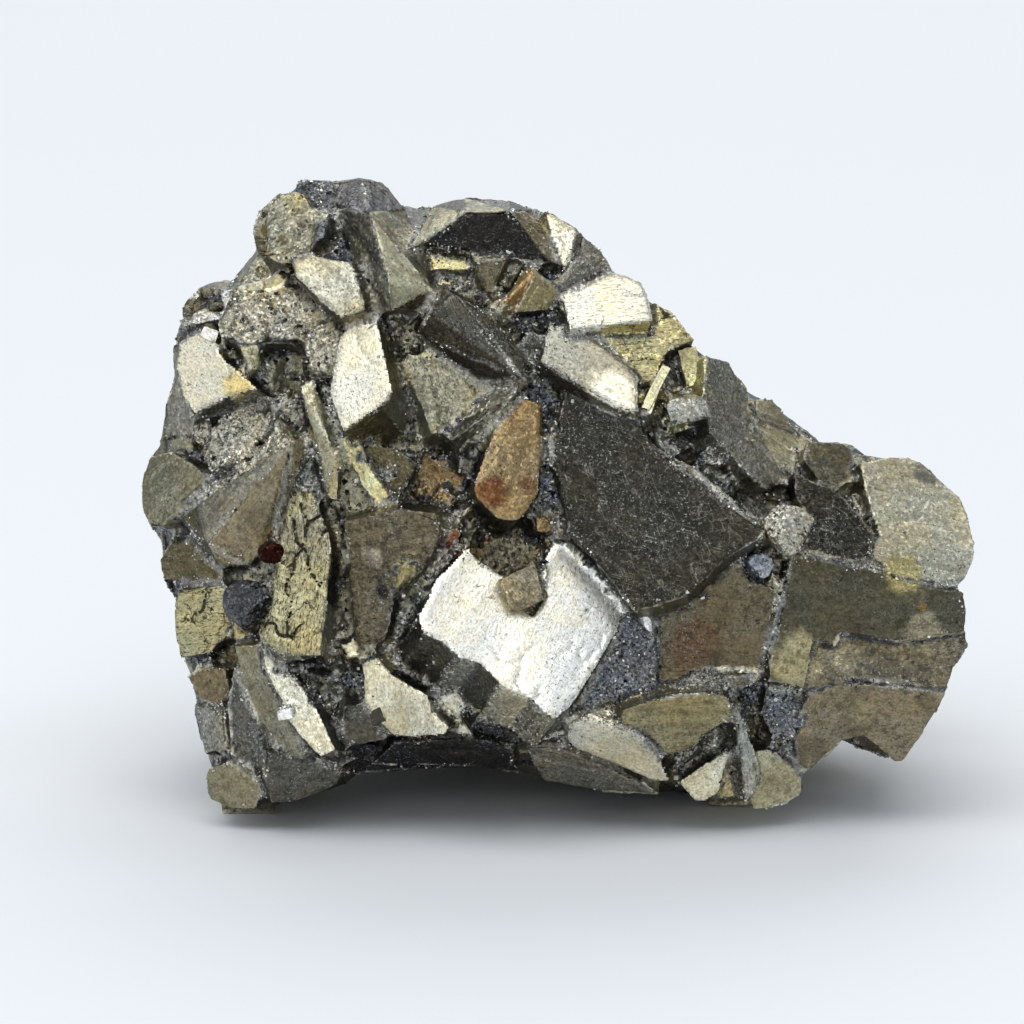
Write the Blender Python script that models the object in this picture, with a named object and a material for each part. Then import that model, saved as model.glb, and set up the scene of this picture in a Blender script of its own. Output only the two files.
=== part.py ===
# Rough pyrite crystal: a fist of cubes that grew into each other, one solid piece.
#
# Every shape is first placed in the stone's front view: x to the right, y into the
# stone, z up, all in millimetres. The front view looks a little down on the stone, so
# the finished solid is turned by LOOK_DOWN and then stood on its three feet.
import math
import random

import bmesh
import bpy
from mathutils import Matrix, Vector

MM = 0.001
LOOK_DOWN = math.radians(11.0)
SEED = 26

# The lump: its middle, how far it bulges towards the viewer and away from the viewer,
# how square its section is, and how far its back rises from the ground.
CENTRE_X = 0.0
CENTRE_Z = 15.6
FRONT_BULGE = 11.0
BACK_BULGE = 15.5
BULGE_FLATNESS = 2.5
BULGE_EXTRA_UPRIGHT = 1.7
BACK_LIFT = 4.5

# The cubes stand on a smaller core of the same form: how much smaller it is in front,
# at the back, and in the two rings that carry the stone's outline.
CORE_SUNK = 1.5
HIDDEN_SUNK = 0.84
CORE_POINTS = 110
CORE_FROM = 0.2
CORE_ROUGHNESS = 0.05
RING_SHARE = 0.995
RING_WANDER = 0.9
BACK_RING = 0.1
BACK_RING_SHARE = 0.92
BACK_RING_DEPTHS = (1.2, 2.2)

# The height where the feet are cut flat, and the least distance between two corners.
GROUND = 0.66
WELD = 0.004

# The edge of the stone in its front view, from the left end round over the top.
OUTLINE = [
    (-20.85, 15.85), (-20.35, 17.85), (-19.85, 18.6), (-19.6, 20.35), (-19.15, 21.6),
    (-19.3, 22.85), (-19.25, 23.6), (-19.0, 24.6), (-18.6, 25.6), (-18.0, 26.35),
    (-17.25, 26.65), (-16.15, 26.75), (-15.5, 27.7), (-15.25, 28.6), (-15.0, 29.7),
    (-14.25, 30.35), (-13.75, 30.85), (-12.75, 31.5), (-10.75, 31.45), (-10.25, 31.75),
    (-9.5, 31.9), (-8.5, 31.45), (-7.75, 30.75), (-7.15, 29.95), (-6.25, 30.2),
    (-5.5, 30.5), (-4.5, 30.7), (-2.25, 30.6), (-1.5, 30.35), (-0.5, 30.0),
    (1.0, 29.35), (2.25, 27.85), (2.85, 27.0), (3.75, 26.35), (4.5, 25.7),
    (5.65, 25.1), (6.25, 24.2), (7.0, 23.35), (7.75, 22.75), (8.65, 22.5),
    (9.15, 21.7), (9.65, 20.95), (10.75, 20.7), (11.25, 20.2), (11.75, 19.35),
    (12.4, 18.6), (14.25, 18.55), (15.15, 18.35), (16.0, 17.7), (17.25, 17.8),
    (18.15, 17.5), (19.25, 16.5), (20.0, 15.95), (20.35, 15.1), (20.75, 13.6),
    (20.9, 12.6), (20.35, 11.35), (20.25, 10.6), (20.65, 8.85), (19.75, 7.6),
    (19.5, 6.85), (19.0, 5.35), (18.0, 3.85), (16.9, 2.35), (16.3, 2.5),
    (15.6, 3.0), (14.95, 3.45), (14.25, 3.6), (13.85, 3.35), (13.5, 2.75),
    (12.85, 2.1), (12.35, 1.85), (12.25, 0.85), (11.5, 0.5), (10.25, 0.2),
    (8.75, 0.1), (6.75, 0.7), (4.75, 0.7), (2.25, 1.0), (-0.75, 1.5),
    (-3.75, 2.2), (-7.75, 2.25), (-9.65, 1.85), (-10.5, 1.1), (-11.5, 0.75),
    (-12.75, 0.6), (-13.75, 0.25), (-14.65, -0.1), (-15.75, 0.1), (-16.75, 0.35),
    (-17.3, 0.85), (-17.35, 1.6), (-17.6, 2.75), (-17.75, 3.6), (-18.1, 4.6),
    (-18.15, 5.6), (-18.45, 6.6), (-18.85, 7.6), (-19.0, 9.35), (-19.25, 10.6),
    (-19.6, 11.1), (-19.85, 11.85), (-19.9, 13.1), (-20.35, 13.85), (-20.7, 14.6),
]

# Cubes that show one flat face. Each has the tilt of that face in degrees, the way it
# leans (0 is right, 90 is up), how far its middle stands over the lump, how far it goes
# in, and the corners of the face.
FACES = {
    "top_left_lump": (35, 125, 0.6, 4.0, [
        (-15.0, 28.6), (-14.7, 29.8), (-13.6, 30.8), (-12.5, 30.9), (-11.9, 30.1),
        (-11.0, 29.7), (-11.2, 28.4), (-12.6, 27.4), (-13.3, 26.9), (-14.7, 27.4)]),
    "top_left_cap": (42, 90, -0.3, 3.5, [
        (-12.75, 31.45), (-10.8, 31.4), (-10.9, 29.7), (-12.2, 30.0), (-13.0, 30.8)]),
    "pale_rough": (25, 120, 0.7, 3.0, [
        (-13.0, 27.4), (-11.7, 27.6), (-9.9, 27.3), (-9.3, 25.6), (-9.1, 24.7),
        (-10.5, 24.2), (-11.5, 25.0), (-12.9, 26.4)]),
    "crust_bed": (22, 130, 0.0, 3.0, [
        (-15.75, 26.1), (-13.25, 26.6), (-11.85, 25.1), (-10.5, 23.35), (-11.0, 21.35),
        (-12.5, 21.6), (-12.75, 23.1), (-14.75, 23.1), (-16.5, 23.35), (-16.65, 24.6)]),
    "dark_shoulder": (40, 140, 0.5, 4.0, [
        (-18.6, 25.1), (-17.75, 26.2), (-16.1, 26.1), (-15.4, 25.6), (-16.0, 24.4),
        (-18.5, 23.9)]),
    "cream_left": (32, 145, 0.9, 3.0, [
        (-18.6, 23.35), (-17.6, 23.75), (-16.65, 23.35), (-16.25, 22.6), (-14.35, 20.9),
        (-16.0, 20.45), (-17.75, 19.6), (-18.4, 20.6), (-18.75, 22.1)]),
    "olive_chip": (30, 300, -0.1, 2.0, [
        (-15.6, 23.0), (-14.35, 23.1), (-14.15, 21.7), (-15.0, 21.6)]),
    "left_rim": (52, 180, -0.2, 4.0, [
        (-19.6, 20.3), (-19.2, 21.6), (-19.25, 23.3), (-18.6, 23.35), (-18.4, 20.6),
        (-17.75, 19.6), (-18.0, 18.6), (-19.7, 18.7)]),
    "speckled_left": (28, 150, 0.1, 3.0, [
        (-17.0, 19.6), (-14.75, 20.35), (-13.5, 19.85), (-15.25, 17.6), (-17.0, 16.6),
        (-17.5, 17.85)]),
    "dark_left_chip": (40, 230, -0.3, 2.5, [
        (-18.0, 19.3), (-17.2, 19.6), (-16.6, 18.6), (-17.0, 17.6), (-18.2, 18.1)]),
    "left_bulge": (45, 165, 0.0, 4.5, [
        (-20.3, 17.8), (-19.0, 18.1), (-17.75, 17.35), (-17.0, 16.6), (-18.5, 15.35),
        (-19.5, 14.1), (-20.3, 14.1), (-20.65, 15.1), (-20.65, 16.6)]),
    "left_olive": (40, 190, 0.1, 3.5, [
        (-19.15, 13.6), (-18.25, 13.6), (-16.25, 11.7), (-16.5, 11.5), (-19.5, 11.35),
        (-19.75, 12.6)]),
    "blocky_yellow": (35, 185, 0.6, 3.5, [
        (-18.85, 11.2), (-16.5, 11.5), (-15.9, 11.1), (-16.25, 10.6), (-15.75, 9.85),
        (-16.35, 8.6), (-17.0, 7.85), (-18.6, 7.5), (-18.9, 8.6), (-19.0, 10.1)]),
    "yellow_chip": (20, 150, 0.3, 2.0, [
        (-16.1, 10.0), (-15.25, 9.35), (-14.65, 9.2), (-15.0, 8.7), (-16.0, 8.55)]),
    "tall_yellow": (18, 120, 1.1, 3.4, [
        (-12.75, 16.25), (-11.75, 16.25), (-11.35, 15.1), (-10.9, 13.85),
        (-10.75, 12.6), (-11.0, 10.6), (-11.25, 7.85), (-12.5, 7.85), (-13.75, 8.1),
        (-14.35, 8.6), (-14.6, 9.35), (-14.0, 10.6), (-13.85, 12.1), (-13.65, 13.85),
        (-13.25, 15.35)]),
    "bright_upper_left": (28, 125, 1.3, 4.4, [
        (-10.6, 23.6), (-8.6, 24.3), (-7.8, 20.7), (-8.4, 20.0), (-10.4, 18.6),
        (-11.1, 20.7)]),
    "brushed_gold": (30, 210, 0.6, 2.5, [
        (-10.65, 18.6), (-9.75, 18.6), (-9.0, 17.1), (-8.0, 15.6), (-8.85, 15.2),
        (-9.75, 16.35), (-10.25, 17.35)]),
    "pitted_gold": (15, 30, 0.2, 2.5, [
        (-9.75, 18.5), (-7.75, 18.1), (-6.5, 17.35), (-7.0, 16.35), (-7.75, 15.45),
        (-8.15, 15.6), (-9.0, 17.1)]),
    "olive_hollow": (20, 60, -0.3, 2.5, [
        (-7.25, 22.85), (-5.75, 22.6), (-3.85, 21.2), (-3.25, 20.85), (-5.0, 19.1),
        (-6.15, 18.6), (-7.5, 22.35)]),
    "brass_bar": (22, 95, -0.7, 2.0, [
        (-6.25, 27.45), (-4.3, 27.4), (-4.15, 26.5), (-6.25, 26.65)]),
    "brown_wedge": (16, 250, -0.5, 2.0, [
        (-4.2, 27.2), (-2.2, 27.3), (-3.1, 25.3), (-3.8, 25.5)]),
    "back_pale_chip": (40, 90, -1.2, 2.0, [
        (-7.5, 30.2), (-6.5, 30.6), (-5.75, 30.45), (-6.25, 29.85), (-7.15, 29.7)]),
    "broken_bright": (30, 60, 0.3, 2.5, [
        (-0.65, 29.85), (0.25, 29.5), (1.15, 28.85), (0.85, 27.35), (0.35, 26.7),
        (-0.35, 28.6)]),
    "dark_top_right": (25, 65, 0.5, 3.0, [
        (1.15, 28.85), (2.25, 27.85), (2.85, 26.95), (2.25, 26.6), (0.5, 25.75),
        (-0.25, 26.1), (0.35, 26.7), (0.95, 27.6)]),
    "bright_plate": (28, 82, 0.9, 2.2, [
        (0.25, 25.4), (2.15, 26.55), (3.15, 26.65), (4.15, 26.25), (4.5, 25.6),
        (4.85, 24.1), (2.25, 23.8), (0.55, 23.7)]),
    "pale_slope": (26, 70, 0.2, 3.0, [
        (-0.75, 22.6), (-0.35, 24.35), (0.5, 23.8), (1.75, 23.5), (3.25, 22.35),
        (4.1, 21.6), (4.1, 19.6), (3.0, 19.9), (0.5, 21.35), (-0.9, 22.2)]),
    "yellow_slope": (30, 58, 0.1, 3.0, [
        (2.25, 23.4), (3.25, 23.9), (4.85, 24.2), (4.75, 25.5), (5.65, 25.0),
        (7.1, 23.3), (5.65, 22.7), (5.0, 21.6), (4.25, 21.1), (3.25, 22.35)]),
    "splinter": (20, 90, 0.4, 1.5, [
        (5.25, 21.7), (5.5, 21.5), (4.75, 19.6), (4.25, 19.45), (4.6, 20.6)]),
    "tan_chip": (24, 60, -0.2, 2.5, [
        (5.85, 22.85), (7.25, 22.7), (7.0, 20.85), (6.25, 20.85)]),
    "rust_centre": (16, 45, 0.5, 3.0, [
        (-2.0, 20.2), (-1.5, 20.6), (-0.6, 20.35), (-0.5, 18.6), (-0.6, 17.1),
        (-0.75, 15.6), (-1.75, 14.35), (-2.75, 14.35), (-4.0, 15.6), (-4.15, 16.1),
        (-3.5, 18.1), (-2.75, 19.35)]),
    "big_dark": (14, 127, 0.9, 4.0, [
        (-0.35, 18.35), (0.25, 20.6), (1.0, 20.85), (3.0, 19.85), (3.85, 19.6),
        (4.75, 18.35), (7.25, 16.1), (10.1, 14.1), (9.85, 13.6), (8.25, 12.6),
        (7.25, 11.6), (6.25, 10.75), (5.0, 10.35), (3.65, 10.0), (3.35, 10.45),
        (1.75, 12.35), (0.25, 13.85), (0.4, 14.35), (-0.25, 17.1)]),
    "big_dark_edge": (42, 50, 0.2, 2.0, [
        (5.5, 17.9), (7.25, 16.2), (10.0, 14.2), (8.7, 15.7), (6.9, 17.3)]),
    "notched_bright": (27, 57, 1.2, 4.4, [
        (-6.75, 10.0), (-6.35, 10.6), (-5.9, 11.7), (-5.15, 12.5), (-4.4, 13.35),
        (-3.65, 12.7), (-2.15, 11.7), (-2.4, 11.1), (-1.5, 10.3), (-1.15, 10.0),
        (-0.75, 10.6), (-0.6, 12.0), (-0.7, 12.6), (-0.25, 13.35), (0.15, 13.65),
        (0.6, 13.35), (1.75, 12.35), (2.65, 11.5), (2.4, 11.1), (3.15, 10.6),
        (3.45, 10.35), (3.0, 9.1), (2.25, 7.85), (1.5, 6.6), (0.75, 5.6),
        (0.1, 5.0), (-0.35, 5.0), (-1.25, 5.85), (-2.25, 6.35), (-2.75, 6.6),
        (-3.75, 7.6), (-4.75, 7.85), (-5.5, 8.6), (-6.5, 9.0)]),
    "mottled_left": (15, 220, 0.5, 3.0, [
        (-10.5, 14.6), (-7.75, 15.2), (-5.75, 15.0), (-5.5, 13.6), (-6.25, 12.1),
        (-7.75, 10.6), (-8.15, 8.6), (-9.75, 8.1), (-10.15, 10.6), (-10.25, 12.6)]),
    "olive_sliver": (26, 320, 0.7, 2.0, [
        (-7.85, 10.8), (-7.65, 12.0), (-7.15, 12.5), (-6.15, 12.2), (-7.0, 11.4)]),
    "rust_chip": (20, 250, 0.3, 2.0, [
        (-5.6, 13.35), (-5.15, 14.2), (-4.65, 14.25), (-4.5, 13.7), (-5.15, 13.0),
        (-5.5, 12.6)]),
    "grey_infill_right": (8, 90, -0.5, 2.0, [
        (3.25, 10.0), (4.25, 10.1), (4.85, 8.6), (5.0, 6.1), (2.25, 5.6), (1.0, 5.35),
        (1.75, 6.6), (2.85, 8.6)]),
    "rust_right": (10, 240, 0.2, 3.0, [
        (5.0, 10.35), (6.5, 11.1), (8.0, 12.35), (9.0, 12.45), (9.5, 11.6),
        (10.25, 11.5), (10.75, 11.1), (10.5, 9.6), (10.1, 8.1), (9.85, 7.2),
        (7.25, 7.2), (6.5, 7.0), (5.0, 6.1), (4.85, 8.1), (4.75, 9.6)]),
    "rust_right_step": (30, 280, 0.1, 2.5, [
        (6.75, 7.0), (9.85, 7.0), (9.5, 6.35), (9.0, 6.1), (6.75, 6.3), (5.25, 6.1)]),
    "dark_upper_right": (32, 25, 0.8, 3.5, [
        (7.3, 22.7), (8.65, 22.4), (9.15, 21.6), (9.7, 20.9), (9.6, 19.9),
        (10.5, 18.4), (11.5, 16.4), (10.4, 15.9), (9.4, 16.6), (8.4, 17.8),
        (7.4, 18.6), (7.1, 20.6)]),
    "right_shoulder": (40, 40, 0.1, 3.5, [
        (9.75, 20.7), (10.75, 20.65), (11.25, 20.1), (11.75, 19.2), (12.35, 18.5),
        (12.0, 17.9), (10.75, 18.0), (9.85, 19.4)]),
    "right_dark": (22, 60, 0.3, 3.0, [
        (11.5, 17.1), (12.25, 16.7), (13.75, 16.1), (14.75, 15.1), (15.65, 13.85),
        (15.35, 12.6), (14.25, 12.5), (12.25, 13.0), (11.75, 13.6), (12.4, 14.6),
        (11.5, 15.6)]),
    "right_olive": (35, 70, 0.1, 3.5, [
        (12.3, 18.55), (14.25, 18.5), (14.75, 17.85), (14.65, 16.6), (14.0, 16.1),
        (12.75, 16.6), (12.0, 17.5)]),
    "right_pale": (30, 40, 0.7, 4.0, [
        (14.75, 17.5), (16.0, 17.7), (17.25, 17.8), (18.15, 17.5), (19.25, 16.5),
        (20.0, 15.85), (20.5, 14.6), (20.75, 13.35), (20.7, 12.6), (20.15, 11.5),
        (18.5, 11.45), (16.75, 11.75), (15.5, 12.6), (15.35, 13.35), (15.75, 13.85),
        (15.35, 14.85), (15.0, 16.1)]),
    "right_block": (13, 350, 0.9, 5.0, [
        (11.4, 12.8), (12.25, 12.85), (14.5, 12.35), (15.75, 12.2), (16.75, 11.7),
        (18.5, 11.35), (20.0, 11.2), (20.25, 10.1), (20.15, 8.9), (16.8, 8.5),
        (13.9, 8.9), (13.6, 8.2), (12.6, 8.6), (12.2, 6.2), (10.1, 6.6), (10.65, 10.1),
        (11.15, 11.85)]),
    "right_block_low": (14, 345, 0.7, 4.5, [
        (10.4, 8.6), (12.6, 8.8), (15.0, 8.9), (20.15, 9.2), (20.4, 8.3), (19.65, 7.2),
        (19.25, 6.1), (16.25, 6.6), (14.5, 6.7), (13.75, 6.35), (12.25, 6.2),
        (10.1, 6.6)]),
    "right_skirt": (28, 285, 0.2, 3.5, [
        (12.25, 6.1), (14.5, 6.6), (19.25, 6.1), (18.75, 5.0), (18.0, 3.75),
        (17.25, 2.6), (16.7, 2.4), (15.85, 3.1), (15.0, 3.8), (14.0, 3.5),
        (13.25, 2.7), (12.5, 2.0), (11.75, 2.4), (11.5, 4.6)]),
    "grey_infill_low": (20, 270, 0.0, 2.0, [
        (10.1, 6.35), (11.5, 6.2), (12.0, 5.35), (12.25, 4.6), (11.35, 3.6),
        (10.5, 3.6), (9.85, 5.0)]),
    "low_gold": (25, 285, 0.8, 3.0, [
        (3.0, 5.35), (4.25, 5.75), (5.25, 6.0), (7.25, 6.2), (8.35, 6.1), (8.75, 5.35),
        (8.5, 4.6), (7.25, 3.85), (6.75, 3.2), (5.25, 2.85), (4.75, 3.6), (4.1, 4.1),
        (3.0, 4.5)]),
    "low_rim": (35, 330, 0.5, 3.0, [
        (8.35, 6.1), (9.0, 5.6), (9.75, 3.6), (10.25, 1.6), (9.25, 0.6), (9.0, 2.1),
        (8.75, 4.6)]),
    "foot_right": (30, 300, 0.4, 4.0, [
        (9.5, 3.35), (10.75, 3.35), (12.25, 1.85), (12.2, 0.9), (11.5, 0.5),
        (10.25, 0.2), (9.5, 0.2), (9.25, 1.6)]),
    "pale_step": (25, 230, 0.6, 3.0, [
        (5.75, 1.7), (8.25, 3.5), (8.5, 3.1), (8.0, 1.1), (7.25, 0.6), (6.75, 0.7)]),
    "olive_step": (35, 320, 0.4, 3.0, [
        (8.25, 3.35), (9.0, 2.6), (9.15, 1.1), (8.0, 0.6), (7.85, 1.35)]),
    "low_slope": (35, 262, 0.5, 3.5, [
        (0.5, 4.7), (1.25, 5.0), (3.0, 4.5), (4.25, 3.85), (5.25, 2.6), (5.75, 1.7),
        (4.5, 1.7), (2.25, 2.7), (1.0, 3.2), (0.35, 3.7)]),
    "arch_left": (48, 270, 0.0, 3.5, [
        (-8.0, 3.6), (-4.25, 3.85), (-2.0, 3.35), (-1.75, 1.85), (-3.75, 2.2),
        (-7.75, 2.25), (-9.25, 2.35)]),
    "arch_right": (52, 262, 0.1, 3.5, [
        (-1.75, 3.35), (0.25, 3.35), (2.25, 2.5), (4.25, 1.6), (5.25, 0.9),
        (2.25, 1.0), (-0.75, 1.5)]),
    "low_bright": (18, 210, 0.6, 3.0, [
        (-9.65, 7.6), (-8.75, 8.0), (-8.0, 7.2), (-7.0, 6.6), (-6.15, 6.1),
        (-5.9, 5.35), (-5.0, 4.5), (-5.35, 4.0), (-6.75, 3.9), (-8.0, 3.85),
        (-8.75, 4.6), (-9.5, 5.85)]),
    "low_bright_chip": (20, 300, 0.3, 2.5, [
        (-5.75, 6.1), (-3.5, 6.45), (-3.6, 5.6), (-4.5, 5.1), (-3.75, 3.85),
        (-4.75, 3.85), (-5.75, 5.0)]),
    "low_dark": (24, 270, 0.1, 2.5, [
        (-10.5, 5.6), (-9.5, 5.6), (-8.75, 4.6), (-8.0, 3.7), (-9.75, 3.35),
        (-10.5, 3.6)]),
    "leg_olive": (30, 200, 0.5, 3.5, [
        (-16.0, 8.5), (-14.65, 8.6), (-14.35, 7.35), (-13.25, 5.85), (-12.75, 4.35),
        (-12.15, 2.6), (-12.75, 2.7), (-13.75, 3.6), (-14.65, 4.6), (-15.25, 6.1),
        (-15.75, 7.6)]),
    "leg_bright": (20, 150, 0.8, 3.5, [
        (-14.65, 8.6), (-14.15, 8.0), (-12.75, 7.1), (-11.75, 5.85), (-11.25, 4.85),
        (-10.5, 3.35), (-11.5, 2.85), (-12.5, 3.85), (-13.25, 4.85), (-13.5, 5.6),
        (-14.35, 7.2)]),
    "leg_brown": (30, 165, 0.6, 3.0, [
        (-18.35, 6.85), (-17.5, 7.35), (-16.15, 7.5), (-15.85, 6.1), (-16.5, 5.35),
        (-17.5, 5.6)]),
    "leg_grey": (35, 210, 0.3, 3.5, [
        (-15.85, 7.35), (-15.25, 6.1), (-14.65, 4.6), (-14.35, 3.35), (-15.0, 2.6),
        (-16.0, 2.6), (-16.15, 5.6)]),
    "leg_left": (40, 190, 0.2, 3.5, [
        (-18.15, 5.6), (-17.5, 5.5), (-16.35, 5.1), (-16.15, 3.0), (-17.5, 2.75),
        (-17.75, 3.6)]),
    "foot_left": (20, 200, 0.9, 4.5, [
        (-17.25, 2.5), (-16.0, 2.85), (-14.65, 1.85), (-14.25, 1.35), (-14.65, 0.2),
        (-16.0, 0.2), (-17.0, 0.6), (-17.35, 1.35)]),
    "foot_left_side": (30, 300, 0.4, 4.0, [
        (-14.25, 3.35), (-13.0, 3.1), (-11.25, 2.6), (-10.15, 2.75), (-10.5, 1.35),
        (-12.75, 0.6), (-14.0, 0.5), (-14.35, 1.85)]),
}

# Cubes that show an edge or a corner. Each corner has its place in the front view and
# its height over the lump; the block is the hull of the corners, carried inwards.
EDGES = {
    "long_ridge": (3.5, [
        (-9.45, 31.65, 0.5), (-9.1, 29.6, 1.2), (-8.1, 26.0, 1.5), (-7.9, 24.5, 1.3),
        (-10.75, 31.3, -0.4), (-11.0, 30.0, -0.4), (-8.9, 24.4, -0.3),
        (-8.5, 31.35, -0.3), (-7.2, 29.9, -0.4), (-5.8, 25.8, 0.1), (-6.6, 24.5, 0.0)]),
    "roof": (4.0, [
        (-7.15, 27.75, -0.3), (-6.25, 30.1, 0.2), (-4.5, 30.6, 0.4), (-4.35, 29.7, 1.9),
        (-2.1, 29.7, 2.0), (-2.25, 30.5, 0.4), (-1.0, 29.85, 0.6), (0.1, 26.85, -0.5),
        (-2.75, 27.3, -1.1), (-6.25, 27.5, -1.0)]),
    "gold_wedge": (2.5, [
        (-0.95, 26.85, 0.5), (-2.15, 24.35, 0.7), (-1.5, 27.0, -0.4),
        (-2.9, 24.7, -0.4), (0.25, 25.7, -0.2), (-0.15, 24.6, -0.2)]),
    "dark_wedge": (3.5, [
        (-5.0, 25.6, 1.3), (-1.5, 21.25, 1.4), (-7.0, 23.5, -0.5), (-6.3, 24.6, 0.3),
        (-3.85, 21.2, -0.9), (-2.75, 20.9, -0.7), (-5.5, 26.0, 0.6), (-3.25, 24.7, 0.3),
        (-1.25, 22.35, 0.4)]),
    "grey_ridge": (2.0, [
        (-1.6, 20.8, 0.8), (-5.25, 18.3, 0.8), (-2.6, 21.1, -0.3), (-6.0, 18.9, -0.3),
        (-2.3, 20.0, -0.2), (-4.75, 17.6, -0.3)]),
    "left_ledge": (3.5, [
        (-17.2, 13.3, 1.2), (-12.8, 18.5, 1.3), (-18.75, 14.6, 0.0), (-17.75, 15.3, 0.0),
        (-15.25, 17.6, 0.0), (-13.5, 19.7, 0.2), (-11.85, 18.1, 0.4), (-13.0, 15.6, 0.1),
        (-13.75, 13.6, 0.0), (-14.85, 12.1, -0.1), (-16.5, 12.1, 0.1)]),
    "olive_strip": (2.5, [
        (-12.6, 21.2, 0.9), (-10.75, 17.6, 1.0), (-11.75, 21.45, 0.2),
        (-10.4, 18.6, 0.3), (-12.0, 18.1, 0.0), (-11.25, 15.6, 0.2), (-10.5, 15.35, 0.4)]),
    "notch_cube": (1.6, [
        (-2.35, 11.1, 0.8), (-1.6, 12.1, 0.7), (-0.65, 12.5, 0.1), (-0.65, 10.7, 0.3),
        (-1.3, 10.1, 0.4), (-1.15, 11.5, 1.3)]),
    "spike": (1.0, [
        (14.4, 3.7, 0.0), (15.0, 3.7, 0.0), (14.9, 3.2, 0.1), (15.15, 2.7, -0.4)]),
}

EDGE_CUBE_TAPER = 0.12

# Small rounded grains that sit in the gaps: place in the front view, height, size.
GRAINS = [
    (6.4, 20.0, 0.5, 1.7), (11.25, 13.95, 0.9, 2.3), (9.75, 12.45, 0.6, 1.3),
    (-7.65, 23.8, 0.5, 0.6), (-6.75, 18.6, 0.6, 0.6), (-0.1, 19.1, 1.1, 0.9),
    (4.4, 9.6, 0.2, 0.8), (-14.95, 10.55, 0.4, 2.3), (-17.0, 23.7, 0.9, 0.7),
    (-14.0, 13.1, 0.9, 1.0), (10.55, 11.4, 0.5, 0.9), (-13.1, 5.2, 1.3, 0.7),
]
GRAIN_SUNK = 0.25
GRAIN_CORNERS = 15
GRAIN_RADIUS = (0.42, 0.56)

# The three feet: side to side, front to back and how high each block reaches, with the
# part of its width that is left where it meets the ground.
FEET = {
    "left": ((-17.0, -13.4), (-4.6, 2.4), 3.2, 0.74),
    "right": ((7.0, 11.6), (-2.9, 3.4), 3.0, 0.74),
    "back": ((-6.5, 1.0), (7.6, 13.2), 6.0, 0.78),
}
FOOT_BELOW_GROUND = 0.4

# Gaps between the large cubes, as lines in the front view where small cubes sit.
SEAMS = [
    ((-10.35, 14.85), (-10.9, 7.8)), ((-7.75, 15.7), (-3.9, 15.6)),
    ((-6.2, 18.4), (-4.2, 16.9)), ((-2.75, 13.9), (0.3, 14.3)),
    ((-3.75, 6.0), (0.2, 4.1)), ((4.4, 18.4), (9.6, 16.0)),
    ((-15.6, 12.0), (-14.2, 9.7)), ((-8.1, 23.9), (-6.8, 19.1)),
    ((-14.6, 22.0), (-12.9, 20.6)), ((0.4, 3.4), (5.2, 1.6)),
    ((-11.4, 7.4), (-10.3, 3.6)), ((0.2, 20.9), (-0.9, 22.1)),
    ((-19.8, 14.6), (-18.6, 11.8)), ((5.0, 22.4), (6.6, 18.8)),
    ((-3.6, 25.2), (-1.2, 23.0)), ((9.6, 6.2), (10.2, 3.2)),
]
SEAM_CUBES = 2
SEAM_SPREAD = 0.45
SEAM_SIZES = (0.5, 1.3)
SEAM_SUNK = (0.5, 1.0)
SEAM_LEAN = 0.5
SEAM_MARGIN = 1.08

# Pits and gaps: place in the front view, width, height, depth and the turn clockwise.
PITS = [
    (-9.35, 17.55, 0.6, 0.3, 0.7, 12), (-8.25, 16.75, 1.0, 0.25, 0.7, 4),
    (-11.45, 6.1, 1.3, 0.75, 2.2, -12), (10.85, 3.55, 0.8, 0.5, 1.6, -20),
    (-10.0, 3.0, 1.1, 0.4, 1.5, -10), (-12.6, 7.45, 2.6, 0.5, 2.0, -3),
    (10.75, 10.2, 0.25, 3.4, 1.6, 12), (-16.9, 25.3, 0.7, 0.4, 0.8, -30),
]
PIT_CLEAR = 2.0
PIT_TAPER = 0.6

# Cubes on the sides, the back, the top and the underside, which the front view hides.
HIDDEN_CUBES = 62
HIDDEN_FROM = 0.2
HIDDEN_TO = 0.99
HIDDEN_SMALLEST = 3.6
HIDDEN_LARGEST = 8.6
HIDDEN_DEPTH = 6.0
HIDDEN_TILT = 0.24
HIDDEN_PROUD = 1.5
HIDDEN_TRIES = 26
HIDDEN_STEP = 0.35
HIDDEN_SHRINK = 0.985
BEHIND_FRONT = 0.9
OVER_GROUND = 0.45

# Cubes round the rim: rows from front to back, as a depth, a count, and a size range.
RIM_ROWS = [(-0.6, 34, 1.6, 3.0), (2.4, 26, 2.4, 4.4), (6.0, 18, 3.4, 5.8)]
RIM_SPREAD = 0.7
RIM_TILT = 0.16
RIM_PROUD = (0.2, 1.0)
RIM_STEP = 0.18


def clear_scene():
    for old in list(bpy.data.objects):
        bpy.data.objects.remove(old, do_unlink=True)


def edge_radius(angle):
    """How far the stone's edge is from its middle in this direction of the front view."""
    aim = Vector((math.cos(angle), math.sin(angle)))
    best = 0.0
    for (x0, z0), (x1, z1) in zip(OUTLINE, OUTLINE[1:] + OUTLINE[:1]):
        start = Vector((x0 - CENTRE_X, z0 - CENTRE_Z))
        run = Vector((x1 - x0, z1 - z0))
        cross = aim.x * run.y - aim.y * run.x
        if abs(cross) < 1e-9:
            continue
        along = (start.x * run.y - start.y * run.x) / cross
        share = (start.x * aim.y - start.y * aim.x) / cross
        if along > 0.0 and -1e-6 <= share <= 1.0 + 1e-6:
            best = max(best, along)
    return best


def flatness(angle):
    """The lump is rounder from left to right than from top to bottom."""
    return BULGE_FLATNESS + BULGE_EXTRA_UPRIGHT * math.sin(angle) ** 2


def lump_height(x, z):
    """How far the lump stands towards the viewer here."""
    dx = x - CENTRE_X
    dz = z - CENTRE_Z
    angle = math.atan2(dz, dx)
    share = min(math.hypot(dx, dz) / edge_radius(angle), 1.0)
    power = flatness(angle)
    return FRONT_BULGE * (1.0 - share**power) ** (1.0 / power)


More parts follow.
